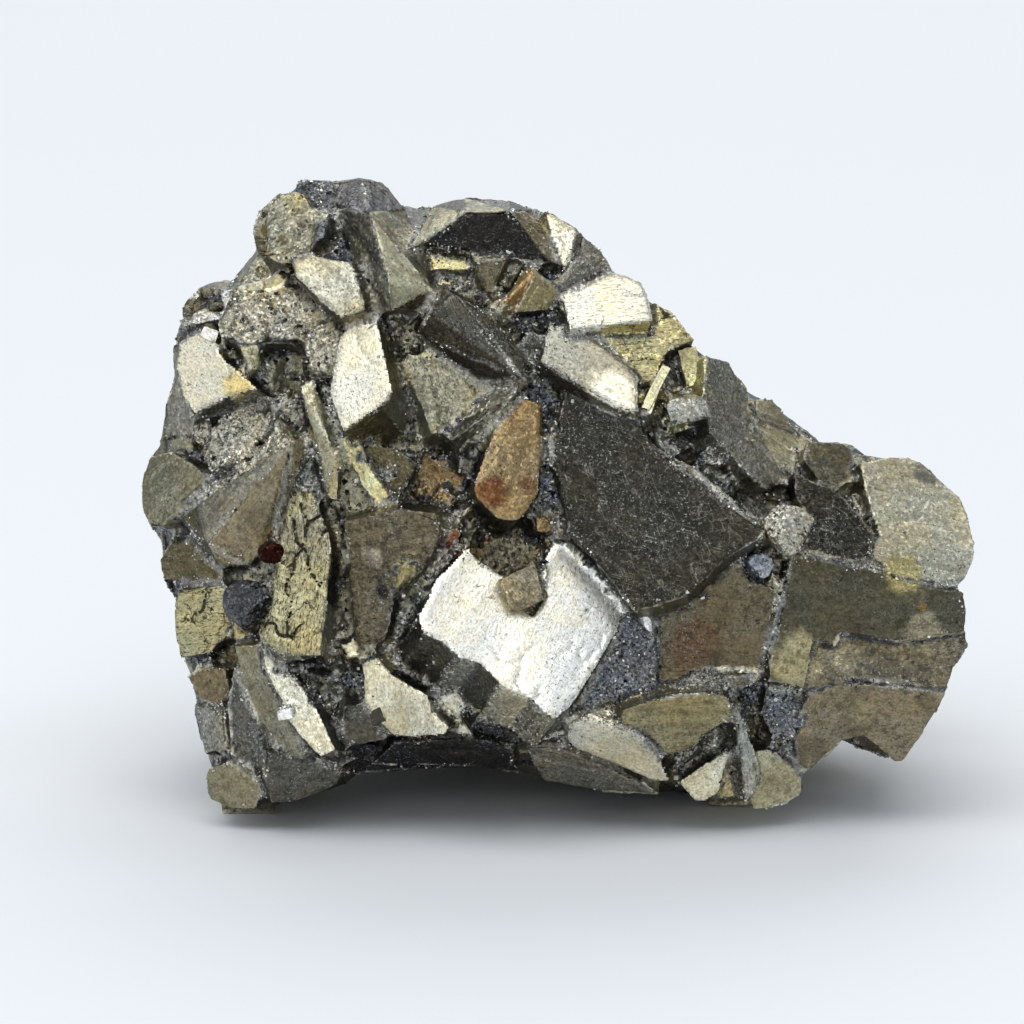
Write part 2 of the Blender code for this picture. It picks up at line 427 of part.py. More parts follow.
def inside_outline(x, z):
    return math.hypot(x - CENTRE_X, z - CENTRE_Z) <= edge_radius(
        math.atan2(z - CENTRE_Z, x - CENTRE_X)
    )


def solid(name, points, faces=None):
    """A closed block from corner points: a hull, or the given faces."""
    shape = bmesh.new()
    verts = [shape.verts.new(p) for p in points]
    if faces is None:
        hull = bmesh.ops.convex_hull(shape, input=verts)
        loose = [g for g in hull["geom_interior"] + hull["geom_unused"]
                 if isinstance(g, bmesh.types.BMVert)]
        bmesh.ops.delete(shape, geom=list(set(loose)), context="VERTS")
        bmesh.ops.dissolve_limit(
            shape, angle_limit=0.01, verts=shape.verts, edges=shape.edges)
    else:
        for corners in faces:
            shape.faces.new([verts[i] for i in corners])
    bmesh.ops.recalc_face_normals(shape, faces=shape.faces)
    mesh = bpy.data.meshes.new(name)
    shape.to_mesh(mesh)
    shape.free()
    made = bpy.data.objects.new(name, mesh)
    bpy.context.scene.collection.objects.link(made)
    return made


def core_lump(rng):
    """The lump under the cubes, with the stone's full outline round its middle."""
    directions = []
    for x, z in OUTLINE:
        angle = math.atan2(z - CENTRE_Z, x - CENTRE_X)
        directions.append(Vector((math.cos(angle), 0.0, math.sin(angle))))
    for way in directions[::2]:
        directions.append(Vector((way.x, BACK_RING, way.z)).normalized())
    turn = math.pi * (3.0 - math.sqrt(5.0))
    for i in range(CORE_POINTS):
        y = 1.0 - 2.0 * (i + 0.5) / CORE_POINTS
        if abs(y) < CORE_FROM:
            continue
        round_ = math.sqrt(1.0 - y * y)
        directions.append(
            Vector((round_ * math.cos(i * turn), y, round_ * math.sin(i * turn))))
    shape = bmesh.new()
    verts = [shape.verts.new(d) for d in directions]
    bmesh.ops.convex_hull(shape, input=verts)
    ring_end = len(OUTLINE) + (len(OUTLINE) + 1) // 2
    for number, vert in enumerate(verts):
        way = vert.co.copy()
        angle = math.atan2(way.z, way.x)
        power = flatness(angle)
        across = math.hypot(way.x, way.z)
        reach = edge_radius(angle)
        if number < len(OUTLINE):
            radius = reach * RING_SHARE
            depth = rng.uniform(-RING_WANDER, RING_WANDER)
            lift = 0.0
        elif number < ring_end:
            radius = reach * BACK_RING_SHARE
            depth = rng.uniform(*BACK_RING_DEPTHS)
            lift = 0.0
        else:
            wobble = rng.uniform(1.0 - CORE_ROUGHNESS, 1.0)
            radius = reach * across ** (2.0 / power) * wobble
            far = abs(way.y) ** (2.0 / power)
            if way.y < 0.0:
                depth = -(FRONT_BULGE - CORE_SUNK) * far * wobble
                lift = 0.0
            else:
                radius *= HIDDEN_SUNK
                depth = BACK_BULGE * far * wobble * HIDDEN_SUNK
                lift = BACK_LIFT * far * max(0.0, -way.z)
        vert.co = Vector((
            CENTRE_X + radius * math.cos(angle), depth,
            CENTRE_Z + radius * math.sin(angle) + lift))
    bmesh.ops.recalc_face_normals(shape, faces=shape.faces)
    mesh = bpy.data.meshes.new("lump")
    shape.to_mesh(mesh)
    shape.free()
    made = bpy.data.objects.new("lump", mesh)
    bpy.context.scene.collection.objects.link(made)
    return made


def face_cube(name, tilt, toward, proud, depth, outline):
    """A cube that shows one flat face with the given corners."""
    lean = math.radians(tilt)
    way = math.radians(toward)
    normal = Vector((
        math.sin(lean) * math.cos(way), -math.cos(lean), math.sin(lean) * math.sin(way)))
    mid_x = sum(x for x, z in outline) / len(outline)
    mid_z = sum(z for x, z in outline) / len(outline)
    mid_y = -(lump_height(mid_x, mid_z) + proud)
    front = []
    for x, z in outline:
        y = mid_y + (normal.x * (x - mid_x) + normal.z * (z - mid_z)) / math.cos(lean)
        front.append(Vector((x, y, z)))
    back = [p - normal * depth for p in front]
    count = len(outline)
    faces = [list(range(count)), [count + i for i in reversed(range(count))]]
    for i in range(count):
        j = (i + 1) % count
        faces.append([j, i, count + i, count + j])
    return solid(name, front + back, faces)


def edge_cube(name, depth, corners):
    """A cube that shows an edge or a corner: the hull of its corners, carried inwards."""
    front = [Vector((x, -(lump_height(x, z) + h), z)) for x, z, h in corners]
    middle = sum(front, Vector()) / len(front)
    back = []
    for p in front:
        inward = Vector((0.0, depth, 0.0)) + (middle - p) * EDGE_CUBE_TAPER
        back.append(p + inward)
    return solid(name, front + back)


def grain(name, x, z, height, size, rng):
    """A rounded grain: the hull of a few points round its middle."""
    middle = Vector((x, -(lump_height(x, z) + height - GRAIN_SUNK * size), z))
    points = []
    for _ in range(GRAIN_CORNERS):
        way = Vector([rng.gauss(0.0, 1.0) for _ in range(3)]).normalized()
        points.append(middle + way * size * rng.uniform(*GRAIN_RADIUS))
    return solid(name, points)


def box_points(middle, outward, roll, size):
    """Corners of a cube with its face turned to outward."""
    turn = outward.to_track_quat("Z", "Y").to_matrix() @ Matrix.Rotation(roll, 3, "Z")
    corners = []
    for i in (-0.5, 0.5):
        for j in (-0.5, 0.5):
            for k in (-0.5, 0.5):
                corners.append(
                    middle + turn @ Vector((i * size.x, j * size.y, k * size.z)))
    return corners


def hidden_site(number, rng):
    """A place on the sides, back, top or underside, with the way the lump faces there."""
    turn = math.pi * (3.0 - math.sqrt(5.0))
    y = HIDDEN_FROM + (HIDDEN_TO - HIDDEN_FROM) * (number + 0.5) / HIDDEN_CUBES
    across = math.sqrt(1.0 - y * y)
    angle = number * turn + rng.uniform(-0.12, 0.12)
    power = flatness(angle)
    radius = edge_radius(angle) * across ** (2.0 / power)
    far = y ** (2.0 / power)
    lift = BACK_LIFT * far * max(0.0, -math.sin(angle) * across)
    place = Vector((
        CENTRE_X + radius * math.cos(angle), BACK_BULGE * far,
        CENTRE_Z + radius * math.sin(angle) + lift))
    outward = Vector((across * math.cos(angle), y * 1.2, across * math.sin(angle)))
    return place, outward.normalized()


def stays_hidden(corners):
    """True where a block is inside the outline, behind the front and over the ground."""
    for p in corners:
        if not inside_outline(p.x, p.z):
            return False
        over = p.z * math.cos(LOOK_DOWN) - p.y * math.sin(LOOK_DOWN) - GROUND
        if over < OVER_GROUND:
            return False
        if p.y < BEHIND_FRONT - lump_height(p.x, p.z):
            return False
    return True


def hidden_cube(name, place, facing, roll, size, proud, step):
    """A cube moved inwards until the front view hides it, or None."""
    for _ in range(HIDDEN_TRIES):
        middle = place + facing * (proud - size.z / 2.0)
        corners = box_points(middle, facing, roll, size)
        if stays_hidden(corners):
            return solid(name, corners)
        inward = Vector((CENTRE_X - place.x, 1.5, CENTRE_Z - place.z)).normalized()
        place = place + inward * step
        size = Vector((size.x * HIDDEN_SHRINK, size.y * HIDDEN_SHRINK, size.z))
    return None


def hidden_cubes(rng):
    """Cubes over the back, the top and the underside."""
    made = []
    for number in range(HIDDEN_CUBES):
        place, outward = hidden_site(number, rng)
        tilt = Vector([rng.gauss(0.0, HIDDEN_TILT) for _ in range(3)])
        facing = (outward + tilt).normalized()
        roll = rng.uniform(0.0, math.pi)
        edge = HIDDEN_SMALLEST + (HIDDEN_LARGEST - HIDDEN_SMALLEST) * rng.random() ** 1.3
        size = Vector((edge, edge * rng.uniform(0.65, 1.05), HIDDEN_DEPTH))
        made.append(hidden_cube(f"hidden_cube_{number:02d}", place, facing, roll, size,
                                rng.uniform(0.0, HIDDEN_PROUD), HIDDEN_STEP))
    return [cube for cube in made if cube]


def rim_cubes(rng):
    """Smaller cubes in rows just behind the edge that the front view shows."""
    made = []
    for depth, count, smallest, largest in RIM_ROWS:
        for number in range(count):
            angle = math.tau * (number + rng.uniform(-0.3, 0.3)) / count
            radius = edge_radius(angle)
            place = Vector((CENTRE_X + radius * math.cos(angle),
                            depth + rng.uniform(-RIM_SPREAD, RIM_SPREAD),
                            CENTRE_Z + radius * math.sin(angle)))
            tilt = Vector([rng.gauss(0.0, RIM_TILT) for _ in range(3)])
            facing = (Vector((math.cos(angle), 0.06 * depth, math.sin(angle))) + tilt)
            edge = rng.uniform(smallest, largest)
            size = Vector((edge, edge * rng.uniform(0.8, 1.2), 1.2 * edge))
            made.append(hidden_cube(f"rim_cube_{depth}_{number:02d}", place,
                                    facing.normalized(), rng.uniform(0.0, math.pi), size,
                                    rng.uniform(*RIM_PROUD), RIM_STEP))
    return [cube for cube in made if cube]


def seam_cubes(rng):
    """Small cubes half sunk in the gaps between the large ones."""
    made = []
    for number, (start, end) in enumerate(SEAMS):
        for step in range(SEAM_CUBES):
            share = (step + rng.uniform(0.1, 0.9)) / SEAM_CUBES
            x = start[0] + (end[0] - start[0]) * share + rng.gauss(0.0, SEAM_SPREAD)
            z = start[1] + (end[1] - start[1]) * share + rng.gauss(0.0, SEAM_SPREAD)
            edge = rng.uniform(*SEAM_SIZES)
            if not inside_outline(x * SEAM_MARGIN, CENTRE_Z + (z - CENTRE_Z) * SEAM_MARGIN):
                continue
            place = Vector((x, -(lump_height(x, z) - rng.uniform(*SEAM_SUNK) - edge), z))
            facing = Vector((rng.gauss(0.0, SEAM_LEAN), -1.0, rng.gauss(0.0, SEAM_LEAN)))
            size = Vector((edge, edge, edge * 2.5))
            corners = box_points(place, facing.normalized(), rng.uniform(0.0, 1.5), size)
            made.append(solid(f"seam_cube_{number:02d}_{step}", corners))
    return made


def pit_cutters():
    """Blocks that cut the pits and cracks into the front."""
    made = []
    for number, (x, z, width, height, depth, turn) in enumerate(PITS):
        length = depth + PIT_CLEAR
        middle = Vector((x, -(lump_height(x, z) + PIT_CLEAR) + length / 2.0, z))
        spin = Matrix.Rotation(math.radians(turn), 3, "Y")
        corners = []
        for i in (-0.5, 0.5):
            for j in (-0.5, 0.5):
                for k in (-0.5, 0.5):
                    narrow = 1.0 if j < 0.0 else PIT_TAPER
                    corners.append(middle + spin @ Vector((
                        i * width * narrow, j * length, k * height * narrow)))
        made.append(solid(f"pit_{number:02d}", corners))
    return made


def feet():
    """Three blocks that narrow towards the ground."""
    made = []
    for name, ((x0, x1), (y0, y1), top, narrow) in FEET.items():
        mid_x = (x0 + x1) / 2.0
        mid_y = (y0 + y1) / 2.0
        corners = []
        for x in (x0, x1):
            for y in (y0, y1):
                corners.append(Vector((x, y, top + y * math.sin(LOOK_DOWN))))
                low_x = mid_x + (x - mid_x) * narrow
                low_y = mid_y + (y - mid_y) * narrow
                low = GROUND - FOOT_BELOW_GROUND + low_y * math.sin(LOOK_DOWN)
                corners.append(Vector((low_x, low_y, low / math.cos(LOOK_DOWN))))
        made.append(solid(f"foot_{name}", corners))
    return made


def apply_boolean(target, others, operation):
    """Joins or cuts the target with all the others at once."""
    group = bpy.data.collections.new("tools")
    bpy.context.scene.collection.children.link(group)
    for other in others:
        group.objects.link(other)
    step = target.modifiers.new("step", "BOOLEAN")
    step.operation = operation
    step.solver = "EXACT"
    step.operand_type = "COLLECTION"
    step.collection = group
    graph = bpy.context.evaluated_depsgraph_get()
    graph.update()
    mesh = bpy.data.meshes.new_from_object(target.evaluated_get(graph))
    target.modifiers.clear()
    target.data = mesh
    for other in others:
        bpy.data.objects.remove(other, do_unlink=True)
    bpy.data.collections.remove(group)


def shells(shape):
    """The separate shells of a mesh, as lists of faces, with their volumes."""
    left = set(shape.faces)
    found = []
    while left:
        stack = [left.pop()]
        group = []
        while stack:
            face = stack.pop()
            group.append(face)
            for edge in face.edges:
                for other in edge.link_faces:
                    if other in left:
                        left.remove(other)
                        stack.append(other)
        volume = 0.0
        for face in group:
            first = face.verts[0].co
            for a, b in zip(face.verts[1:-1], face.verts[2:]):
                volume += first.dot(a.co.cross(b.co)) / 6.0
        found.append((volume, group))
    return found


def keep_outer_shell(target):
    """Drops sealed bubbles between the cubes and any chip that touches nothing."""
    shape = bmesh.new()
    shape.from_mesh(target.data)
    bmesh.ops.remove_doubles(shape, verts=shape.verts, dist=WELD)
    bmesh.ops.dissolve_degenerate(shape, edges=shape.edges, dist=WELD)
    found = sorted(shells(shape), key=lambda s: s[0])
    drop = [face for volume, group in found[:-1] for face in group]
    bmesh.ops.delete(shape, geom=drop, context="FACES")
    bare = [v for v in shape.verts if not v.link_faces]
    bmesh.ops.delete(shape, geom=bare, context="VERTS")
    shape.to_mesh(target.data)
    shape.free()
    print("shells", len(found), "largest", round(found[-1][0], 1))


def ground_cutter():
    """A block under the ground plane, wider than the stone."""
    wide = 80.0
    deep = 20.0
    points = []
    for x in (-wide, wide):
        for y in (-wide, wide):
            for z in (GROUND - deep, GROUND):
                points.append(Vector((x, y, z)))
    return solid("ground_cutter", points)


def stand_up(target):
    """Turns the front view into the upright stone."""
    target.data.transform(Matrix.Rotation(-LOOK_DOWN, 4, "X"))


def settle(target):
    """Millimetres to metres, with the origin under the middle of the stone."""
    lows = [min(v.co[i] for v in target.data.vertices) for i in range(3)]
    highs = [max(v.co[i] for v in target.data.vertices) for i in range(3)]
    shift = Vector((-(lows[0] + highs[0]) / 2.0, -(lows[1] + highs[1]) / 2.0, -lows[2]))
    target.data.transform(Matrix.Translation(shift))
    target.data.transform(Matrix.Scale(MM, 4))
    print("shift", [round(s, 4) for s in shift])


def pyrite_material():
    """Tarnished pyrite: brassy grey and half dull."""
    made = bpy.data.materials.new("pyrite")
    made.use_nodes = True
    surface = made.node_tree.nodes["Principled BSDF"]
    surface.inputs["Base Color"].default_value = (0.42, 0.37, 0.24, 1.0)
    surface.inputs["Roughness"].default_value = 0.42
    surface.inputs["Metallic"].default_value = 0.9
    return made


def build():
    clear_scene()
    rng = random.Random(SEED)
    stone = core_lump(rng)
    cubes = [face_cube(name, *spec) for name, spec in FACES.items()]
    cubes += [edge_cube(name, depth, corners) for name, (depth, corners) in EDGES.items()]
    for number, (x, z, height, size) in enumerate(GRAINS):
        cubes.append(grain(f"grain_{number:02d}", x, z, height, size, rng))
    cubes += hidden_cubes(rng)
    cubes += rim_cubes(rng)
    cubes += seam_cubes(rng)
    cubes += feet()
    print("cubes", len(cubes))
    apply_boolean(stone, cubes, "UNION")
    keep_outer_shell(stone)
    apply_boolean(stone, pit_cutters(), "DIFFERENCE")
    stand_up(stone)
    apply_boolean(stone, [ground_cutter()], "DIFFERENCE")
    keep_outer_shell(stone)
    settle(stone)
    stone.name = "pyrite_cluster"
    stone.data.name = "pyrite_cluster"
    stone.data.materials.clear()
    stone.data.materials.append(pyrite_material())


build()
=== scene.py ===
# %% [markdown]
# Rough pyrite, dressed for its picture.
#
# The solid stone comes from the CAD frame: flat crystal faces that meet in sharp, clean
# lines. A real piece of rough pyrite is the same shape at arm's length, but up close its
# edges are chipped, its faces carry growth steps and hairline cracks, and the gaps are
# full of grey grains. This lesson copies the solid, gives the copy those details in its
# mesh, finishes each face as the photograph shows it, and adds the loose-looking crust.

# %% The frame
import math
from types import SimpleNamespace

import bmesh
import bpy
import numpy as np
from mathutils import Matrix, Vector
from mathutils.bvhtree import BVHTree
from mathutils.kdtree import KDTree


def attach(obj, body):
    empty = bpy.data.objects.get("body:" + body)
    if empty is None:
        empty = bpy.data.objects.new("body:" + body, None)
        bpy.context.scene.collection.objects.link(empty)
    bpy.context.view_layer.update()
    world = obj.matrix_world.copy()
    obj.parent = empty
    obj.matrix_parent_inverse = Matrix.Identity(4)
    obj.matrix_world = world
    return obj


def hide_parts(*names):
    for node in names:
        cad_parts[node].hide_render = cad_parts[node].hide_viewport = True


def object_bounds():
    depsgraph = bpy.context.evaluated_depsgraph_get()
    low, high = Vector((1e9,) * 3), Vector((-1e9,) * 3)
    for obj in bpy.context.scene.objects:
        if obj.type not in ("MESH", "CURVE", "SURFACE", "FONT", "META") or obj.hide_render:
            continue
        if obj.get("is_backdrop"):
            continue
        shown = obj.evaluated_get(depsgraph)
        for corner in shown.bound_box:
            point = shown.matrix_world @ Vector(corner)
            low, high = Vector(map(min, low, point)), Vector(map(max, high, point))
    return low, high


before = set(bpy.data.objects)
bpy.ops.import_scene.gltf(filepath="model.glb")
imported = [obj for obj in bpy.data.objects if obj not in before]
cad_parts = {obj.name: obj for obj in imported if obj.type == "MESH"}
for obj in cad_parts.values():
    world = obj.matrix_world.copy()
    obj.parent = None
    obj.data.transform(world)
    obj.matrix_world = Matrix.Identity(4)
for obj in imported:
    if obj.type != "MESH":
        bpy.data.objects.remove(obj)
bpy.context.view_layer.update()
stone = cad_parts["pyrite_cluster"]
MM = 0.001
SEED = 7

# %% [markdown]
# The photograph is taken from a little above, almost without perspective, so a pixel of
# it is a line through the stone along the view. Three measures tie the two together: how
# many pixels there are to a millimetre, the pixel column of the stone's middle, and the
# pixel row of its highest point. With them, a face can be named by a pixel that lies on
# it, and found by casting a ray.

# %% From the photograph to the stone
LOOK_DOWN = math.radians(11.0)
PIXELS_PER_MM = 20.0
IMAGE_SIDE = 1024
MIDDLE_COLUMN = 555.5
TOP_ROW = 174.0
START_MM = 100.0
MERGE_MM = 0.0005
view_right = Vector((1.0, 0.0, 0.0))
view_ahead = Vector((0.0, math.cos(LOOK_DOWN), -math.sin(LOOK_DOWN)))
view_up = Vector((0.0, math.sin(LOOK_DOWN), math.cos(LOOK_DOWN)))


def merged_copy(source):
    """The CAD node's loose triangles as one closed mesh, in millimetres."""
    shape = bmesh.new()
    shape.from_mesh(source.data)
    bmesh.ops.scale(shape, vec=(1.0 / MM,) * 3, verts=shape.verts)
    bmesh.ops.remove_doubles(shape, verts=shape.verts, dist=MERGE_MM)
    shape.faces.ensure_lookup_table()
    return shape


solid = merged_copy(stone)
highest = max(v.co.dot(view_up) for v in solid.verts)
surface_tree = BVHTree.FromBMesh(solid)


def pixel_to_place(column, row):
    """A point well in front of the stone, on the line of sight through this pixel."""
    right = (column - MIDDLE_COLUMN) / PIXELS_PER_MM
    up = highest - (row - TOP_ROW) / PIXELS_PER_MM
    return view_right * right + view_up * up - view_ahead * START_MM


print("merged:", len(solid.verts), "corners,", len(solid.faces), "triangles")

# %% [markdown]
# Triangles that lie in one plane are one crystal face. Each gets a frame of its own: the
# way it faces, the way its striations run (along its longest straight edge, as on a real
# cube), and a random number that keeps its pattern apart from its neighbour's.

# %% Crystal faces
SAME_PLANE = 0.9995
TINY = 1e-9


def flat_groups(shape):
    """Gives every triangle the number of the flat face that it belongs to."""
    group = np.full(len(shape.faces), -1, int)
    count = 0
    for first in shape.faces:
        if group[first.index] >= 0:
            continue
        group[first.index] = count
        stack = [first]
        while stack:
            face = stack.pop()
            for edge in face.edges:
                for other in edge.link_faces:
                    if group[other.index] < 0 and other.normal.dot(first.normal) > SAME_PLANE:
                        group[other.index] = count
                        stack.append(other)
        count += 1
    return group, count


face_of_triangle, face_count = flat_groups(solid)
face_normal = np.zeros((face_count, 3))
face_middle = np.zeros((face_count, 3))
face_area = np.zeros(face_count)
for triangle in solid.faces:
    number = face_of_triangle[triangle.index]
    area = triangle.calc_area()
    face_area[number] += area
    face_normal[number] += np.array(triangle.normal) * area
    face_middle[number] += np.array(triangle.calc_center_median()) * area
face_middle /= np.maximum(face_area, TINY)[:, None]
face_normal /= np.maximum(np.linalg.norm(face_normal, axis=1), TINY)[:, None]

face_along = np.zeros((face_count, 3))
longest = np.zeros(face_count)
for edge in solid.edges:
    near = [face_of_triangle[f.index] for f in edge.link_faces]
    if len(set(near)) < 2:
        continue
    way = np.array(edge.verts[1].co - edge.verts[0].co)
    length = np.linalg.norm(way)
    for number in near:
        if length > longest[number]:
            longest[number] = length
            face_along[number] = way / length
face_across = np.cross(face_normal, face_along)
face_dice = np.random.default_rng(SEED).random((face_count, 4))
print("crystal faces:", face_count, "largest, mm2:", round(face_area.max(), 1))

# %% [markdown]
# Two maps of the solid's edges follow. Outer edges are where a crystal gets chipped and
# rubbed bright, and where a highlight is painted. Inner edges are where crystals meet,
# where grains gather, and where shade is painted at the bottom of the gaps.
# Both are points set closely along the edges, so the nearest one tells how far away an
# edge is.

# %% Outer and inner edges
EDGE_POINT_STEP = 0.1
BEND = math.radians(18.0)


def edge_points(shape, outer):
    """Points along all edges that stick out, or along all that point inwards."""
    points = []
    for edge in shape.edges:
        if len(edge.link_faces) != 2:
            continue
        bend = edge.calc_face_angle_signed(0.0)
        if (bend > BEND) if outer else (bend < -BEND):
            start, end = edge.verts[0].co, edge.verts[1].co
            steps = max(1, int((end - start).length / EDGE_POINT_STEP))
            points += [start.lerp(end, (i + 0.5) / steps) for i in range(steps)]
    found = KDTree(len(points))
    for number, point in enumerate(points):
        found.insert(point, number)
    found.balance()
    print("points on", "outer" if outer else "inner", "edges:", len(points))
    return found


outer_edges = edge_points(solid, True)
inner_edges = edge_points(solid, False)

# %% [markdown]
# The copy needs thousands of small faces before it can be chipped and cracked. A voxel
# remesh gives an even net over the whole stone. It also rounds each edge by a tenth of a
# millimetre, which is what lets a worn edge catch the light. In the solid, crystals stand
# apart with deep gaps; on the stone, the gaps are packed with grains. Swelling a net,
# joining what touches, and shrinking it again fills every gap narrower than twice the
# swelling. That is done twice: a little for the crystals themselves, and a lot for a
# filler, which is then shrunk further so that it shows only at the bottom of the gaps.

# %% A fine net over the stone
NET_MM = 0.115
FIRST_NET_MM = NET_MM * 1.2
SWELL_MM = 0.13
FILLER_SWELL_MM = 0.8
FILLER_SUNK_MM = 0.8
FILLER_NET_MM = 0.22


def evaluated_mesh(thing):
    """The mesh that an object's modifiers make. The modifiers are removed."""
    graph = bpy.context.evaluated_depsgraph_get()
    graph.update()
    made = bpy.data.meshes.new_from_object(thing.evaluated_get(graph))
    thing.modifiers.clear()
    return made


def put_in_scene(name, mesh):
    """A new object with this mesh."""
    thing = bpy.data.objects.new(name, mesh)
    bpy.context.scene.collection.objects.link(thing)
    return thing


def joined(name, things):
    """Several meshes joined into one object."""
    shape = bmesh.new()
    for thing in things:
        shape.from_mesh(thing.data)
        bpy.data.objects.remove(thing)
    mesh = bpy.data.meshes.new(name)
    shape.to_mesh(mesh)
    shape.free()
    return put_in_scene(name, mesh)


def remeshed(thing, steps):
    """Moves a net outwards and remeshes it, once for each pair of a distance and a size."""
    for outwards, voxel in steps:
        offset = thing.modifiers.new("offset", "DISPLACE")
        offset.strength = outwards
        offset.mid_level = 0.0
        net = thing.modifiers.new("net", "REMESH")
        net.mode = "VOXEL"
        net.voxel_size = voxel
    thing.data = evaluated_mesh(thing)
    return thing


base = bpy.data.meshes.new("crystals")
solid.to_mesh(base)
closed = remeshed(put_in_scene("closed", base.copy()),
                  ((0.0, FIRST_NET_MM), (SWELL_MM, FIRST_NET_MM), (-SWELL_MM, NET_MM)))
filler = remeshed(put_in_scene("filler", base.copy()),
                  ((0.0, FILLER_NET_MM), (FILLER_SWELL_MM, FILLER_NET_MM),
                   (-FILLER_SWELL_MM - FILLER_SUNK_MM, FILLER_NET_MM)))
crystals = remeshed(joined("crystals", [closed, filler]), ((0.0, NET_MM),))
print("net:", len(crystals.data.vertices), "points")

# %% [markdown]
# Everything below is a rule on the points of that net, worked out for all of them at
# once with numpy. The rules need smooth random numbers in space: here a lattice of
# random values, blended between its points. Multiplying and shifting a point's whole
# numbers by large odd ones scatters them, so the same place gets the same value each run.

# %% Smooth random numbers
SCATTER_X, SCATTER_Y, SCATTER_Z, SCATTER_SEED = 73856093, 19349663, 83492791, 2654435761
STIRS = ((15, 2246822519), (13, 3266489917))
HIGHEST_WHOLE = 0xFFFFFFFF


def lattice(corner, seed):
    """A random number from 0 to 1 for each corner of a whole-number grid."""
    mixed = (corner[..., 0] * SCATTER_X) ^ (corner[..., 1] * SCATTER_Y)
    mixed = (mixed ^ (corner[..., 2] * SCATTER_Z) ^ (seed * SCATTER_SEED)) & HIGHEST_WHOLE
    for shift, factor in STIRS:
        mixed = ((mixed ^ (mixed >> shift)) * factor) & HIGHEST_WHOLE
    return (mixed ^ (mixed >> 16)) / float(HIGHEST_WHOLE)


def noise(places, seed=0):
    """Smooth noise from 0 to 1 with features about one unit across."""
    cell = np.floor(places).astype(np.int64)
    share = places - cell
    share = share * share * (3.0 - 2.0 * share)
    total = np.zeros(len(places))
    for i in (0, 1):
        for j in (0, 1):
            for k in (0, 1):
                weight = (share[:, 0] if i else 1.0 - share[:, 0])
                weight = weight * (share[:, 1] if j else 1.0 - share[:, 1])
                weight = weight * (share[:, 2] if k else 1.0 - share[:, 2])
                total += weight * lattice(cell + np.array((i, j, k)), seed)
    return total


def rough_noise(places, seed=0, layers=3):
    """Noise with finer noise on top, from 0 to 1."""
    total = np.zeros(len(places))
    for layer in range(layers):
        total += noise(places * 2.03**layer, seed + layer) * 0.5 ** (layer + 1)
    return total / (1.0 - 0.5**layers)


def rise(low, high, values):
    """0 below low, 1 above high, smooth between."""
    share = np.clip((values - low) / (high - low), 0.0, 1.0)
    return share * share * (3.0 - 2.0 * share)


# %% [markdown]
# Each point of the net learns which crystal face it lies on, how far it is from an outer
# and an inner edge, where it is in its face's own frame, and how high it lies above the
# solid. What lies high above the solid is the filling of a gap.

# %% What each point knows
FILLING_FROM_MM, FILLING_FULL_MM = 0.05, 0.16


def measure(points):
    """Each point's crystal face, distance from both kinds of edge, and height above."""
    on_face = np.zeros(len(points), int)
    to_outer = np.zeros(len(points))
    to_inner = np.zeros(len(points))
    above = np.zeros(len(points))
    for number, point in enumerate(map(Vector, points.tolist())):
        place, normal, triangle, _ = surface_tree.find_nearest(point)
        on_face[number] = face_of_triangle[triangle]
        above[number] = (point - place).dot(normal)
        to_outer[number] = outer_edges.find(point)[2]
        to_inner[number] = inner_edges.find(point)[2]
    return on_face, to_outer, to_inner, above


def read_points(mesh, field="co"):
    """The place of every point, or with "normal" the way it faces."""
    flat = np.zeros(len(mesh.vertices) * 3)
    mesh.vertices.foreach_get(field, flat)
    return flat.reshape(-1, 3)


def face_frame(points, on_face):
    """Places along and across each point's crystal face, in millimetres."""
    offset = points - face_middle[on_face]
    along = (offset * face_along[on_face]).sum(axis=1)
    across = (offset * face_across[on_face]).sum(axis=1)
    return along, across


def know(points):
    """All that the rules below read about each point."""
    on_face, to_outer, to_inner, above = measure(points)
    along, across = face_frame(points, on_face)
    filling = rise(FILLING_FROM_MM, FILLING_FULL_MM, above)
    return {"face": on_face, "outer": to_outer, "inner": to_inner, "along": along,
            "across": across, "filling": filling}


# %% [markdown]
# A finish says how one crystal face looks: its colour, the colour of its stains, and
# how stained, dull, cracked, lined, scratched and grainy it is. "edged" is how much its
# rim is crumbled, "stepped" is the height of its growth steps in mm, "pitted" is how many
# holes it has, and "bulging" is how uneven it is. The photograph shows about seventeen
# kinds, from cream-bright cleaved faces to nearly black ones, most of them close to grey.
# Their colours are partly tarnish and partly painted reflection: a face that mirrors a
# bright light is painted light, and one that mirrors the dark room is painted dark.

# %% Finishes
SCREEN_GAMMA = 2.2


def as_light(colour):
    """A screen colour, 0 to 255, as shares of light."""
    return (np.array(colour) / 255.0) ** SCREEN_GAMMA


def finish(colour, stain, stained=0.5, dull=0.36, cracked=0.3, lined=0.4, scratched=0.2,
           grainy=0.2, edged=0.6, stepped=0.3, pitted=0.0, bulging=0.0):
    """Colours as they look on a screen, 0 to 255. Amounts run from 0 to 1."""
    return {"colour": as_light(colour), "stain": as_light(stain),
            "look": (stained, dull, cracked), "marks": (lined, scratched, grainy),
            "edged": edged, "stepped": stepped, "pitted": pitted, "bulging": bulging}
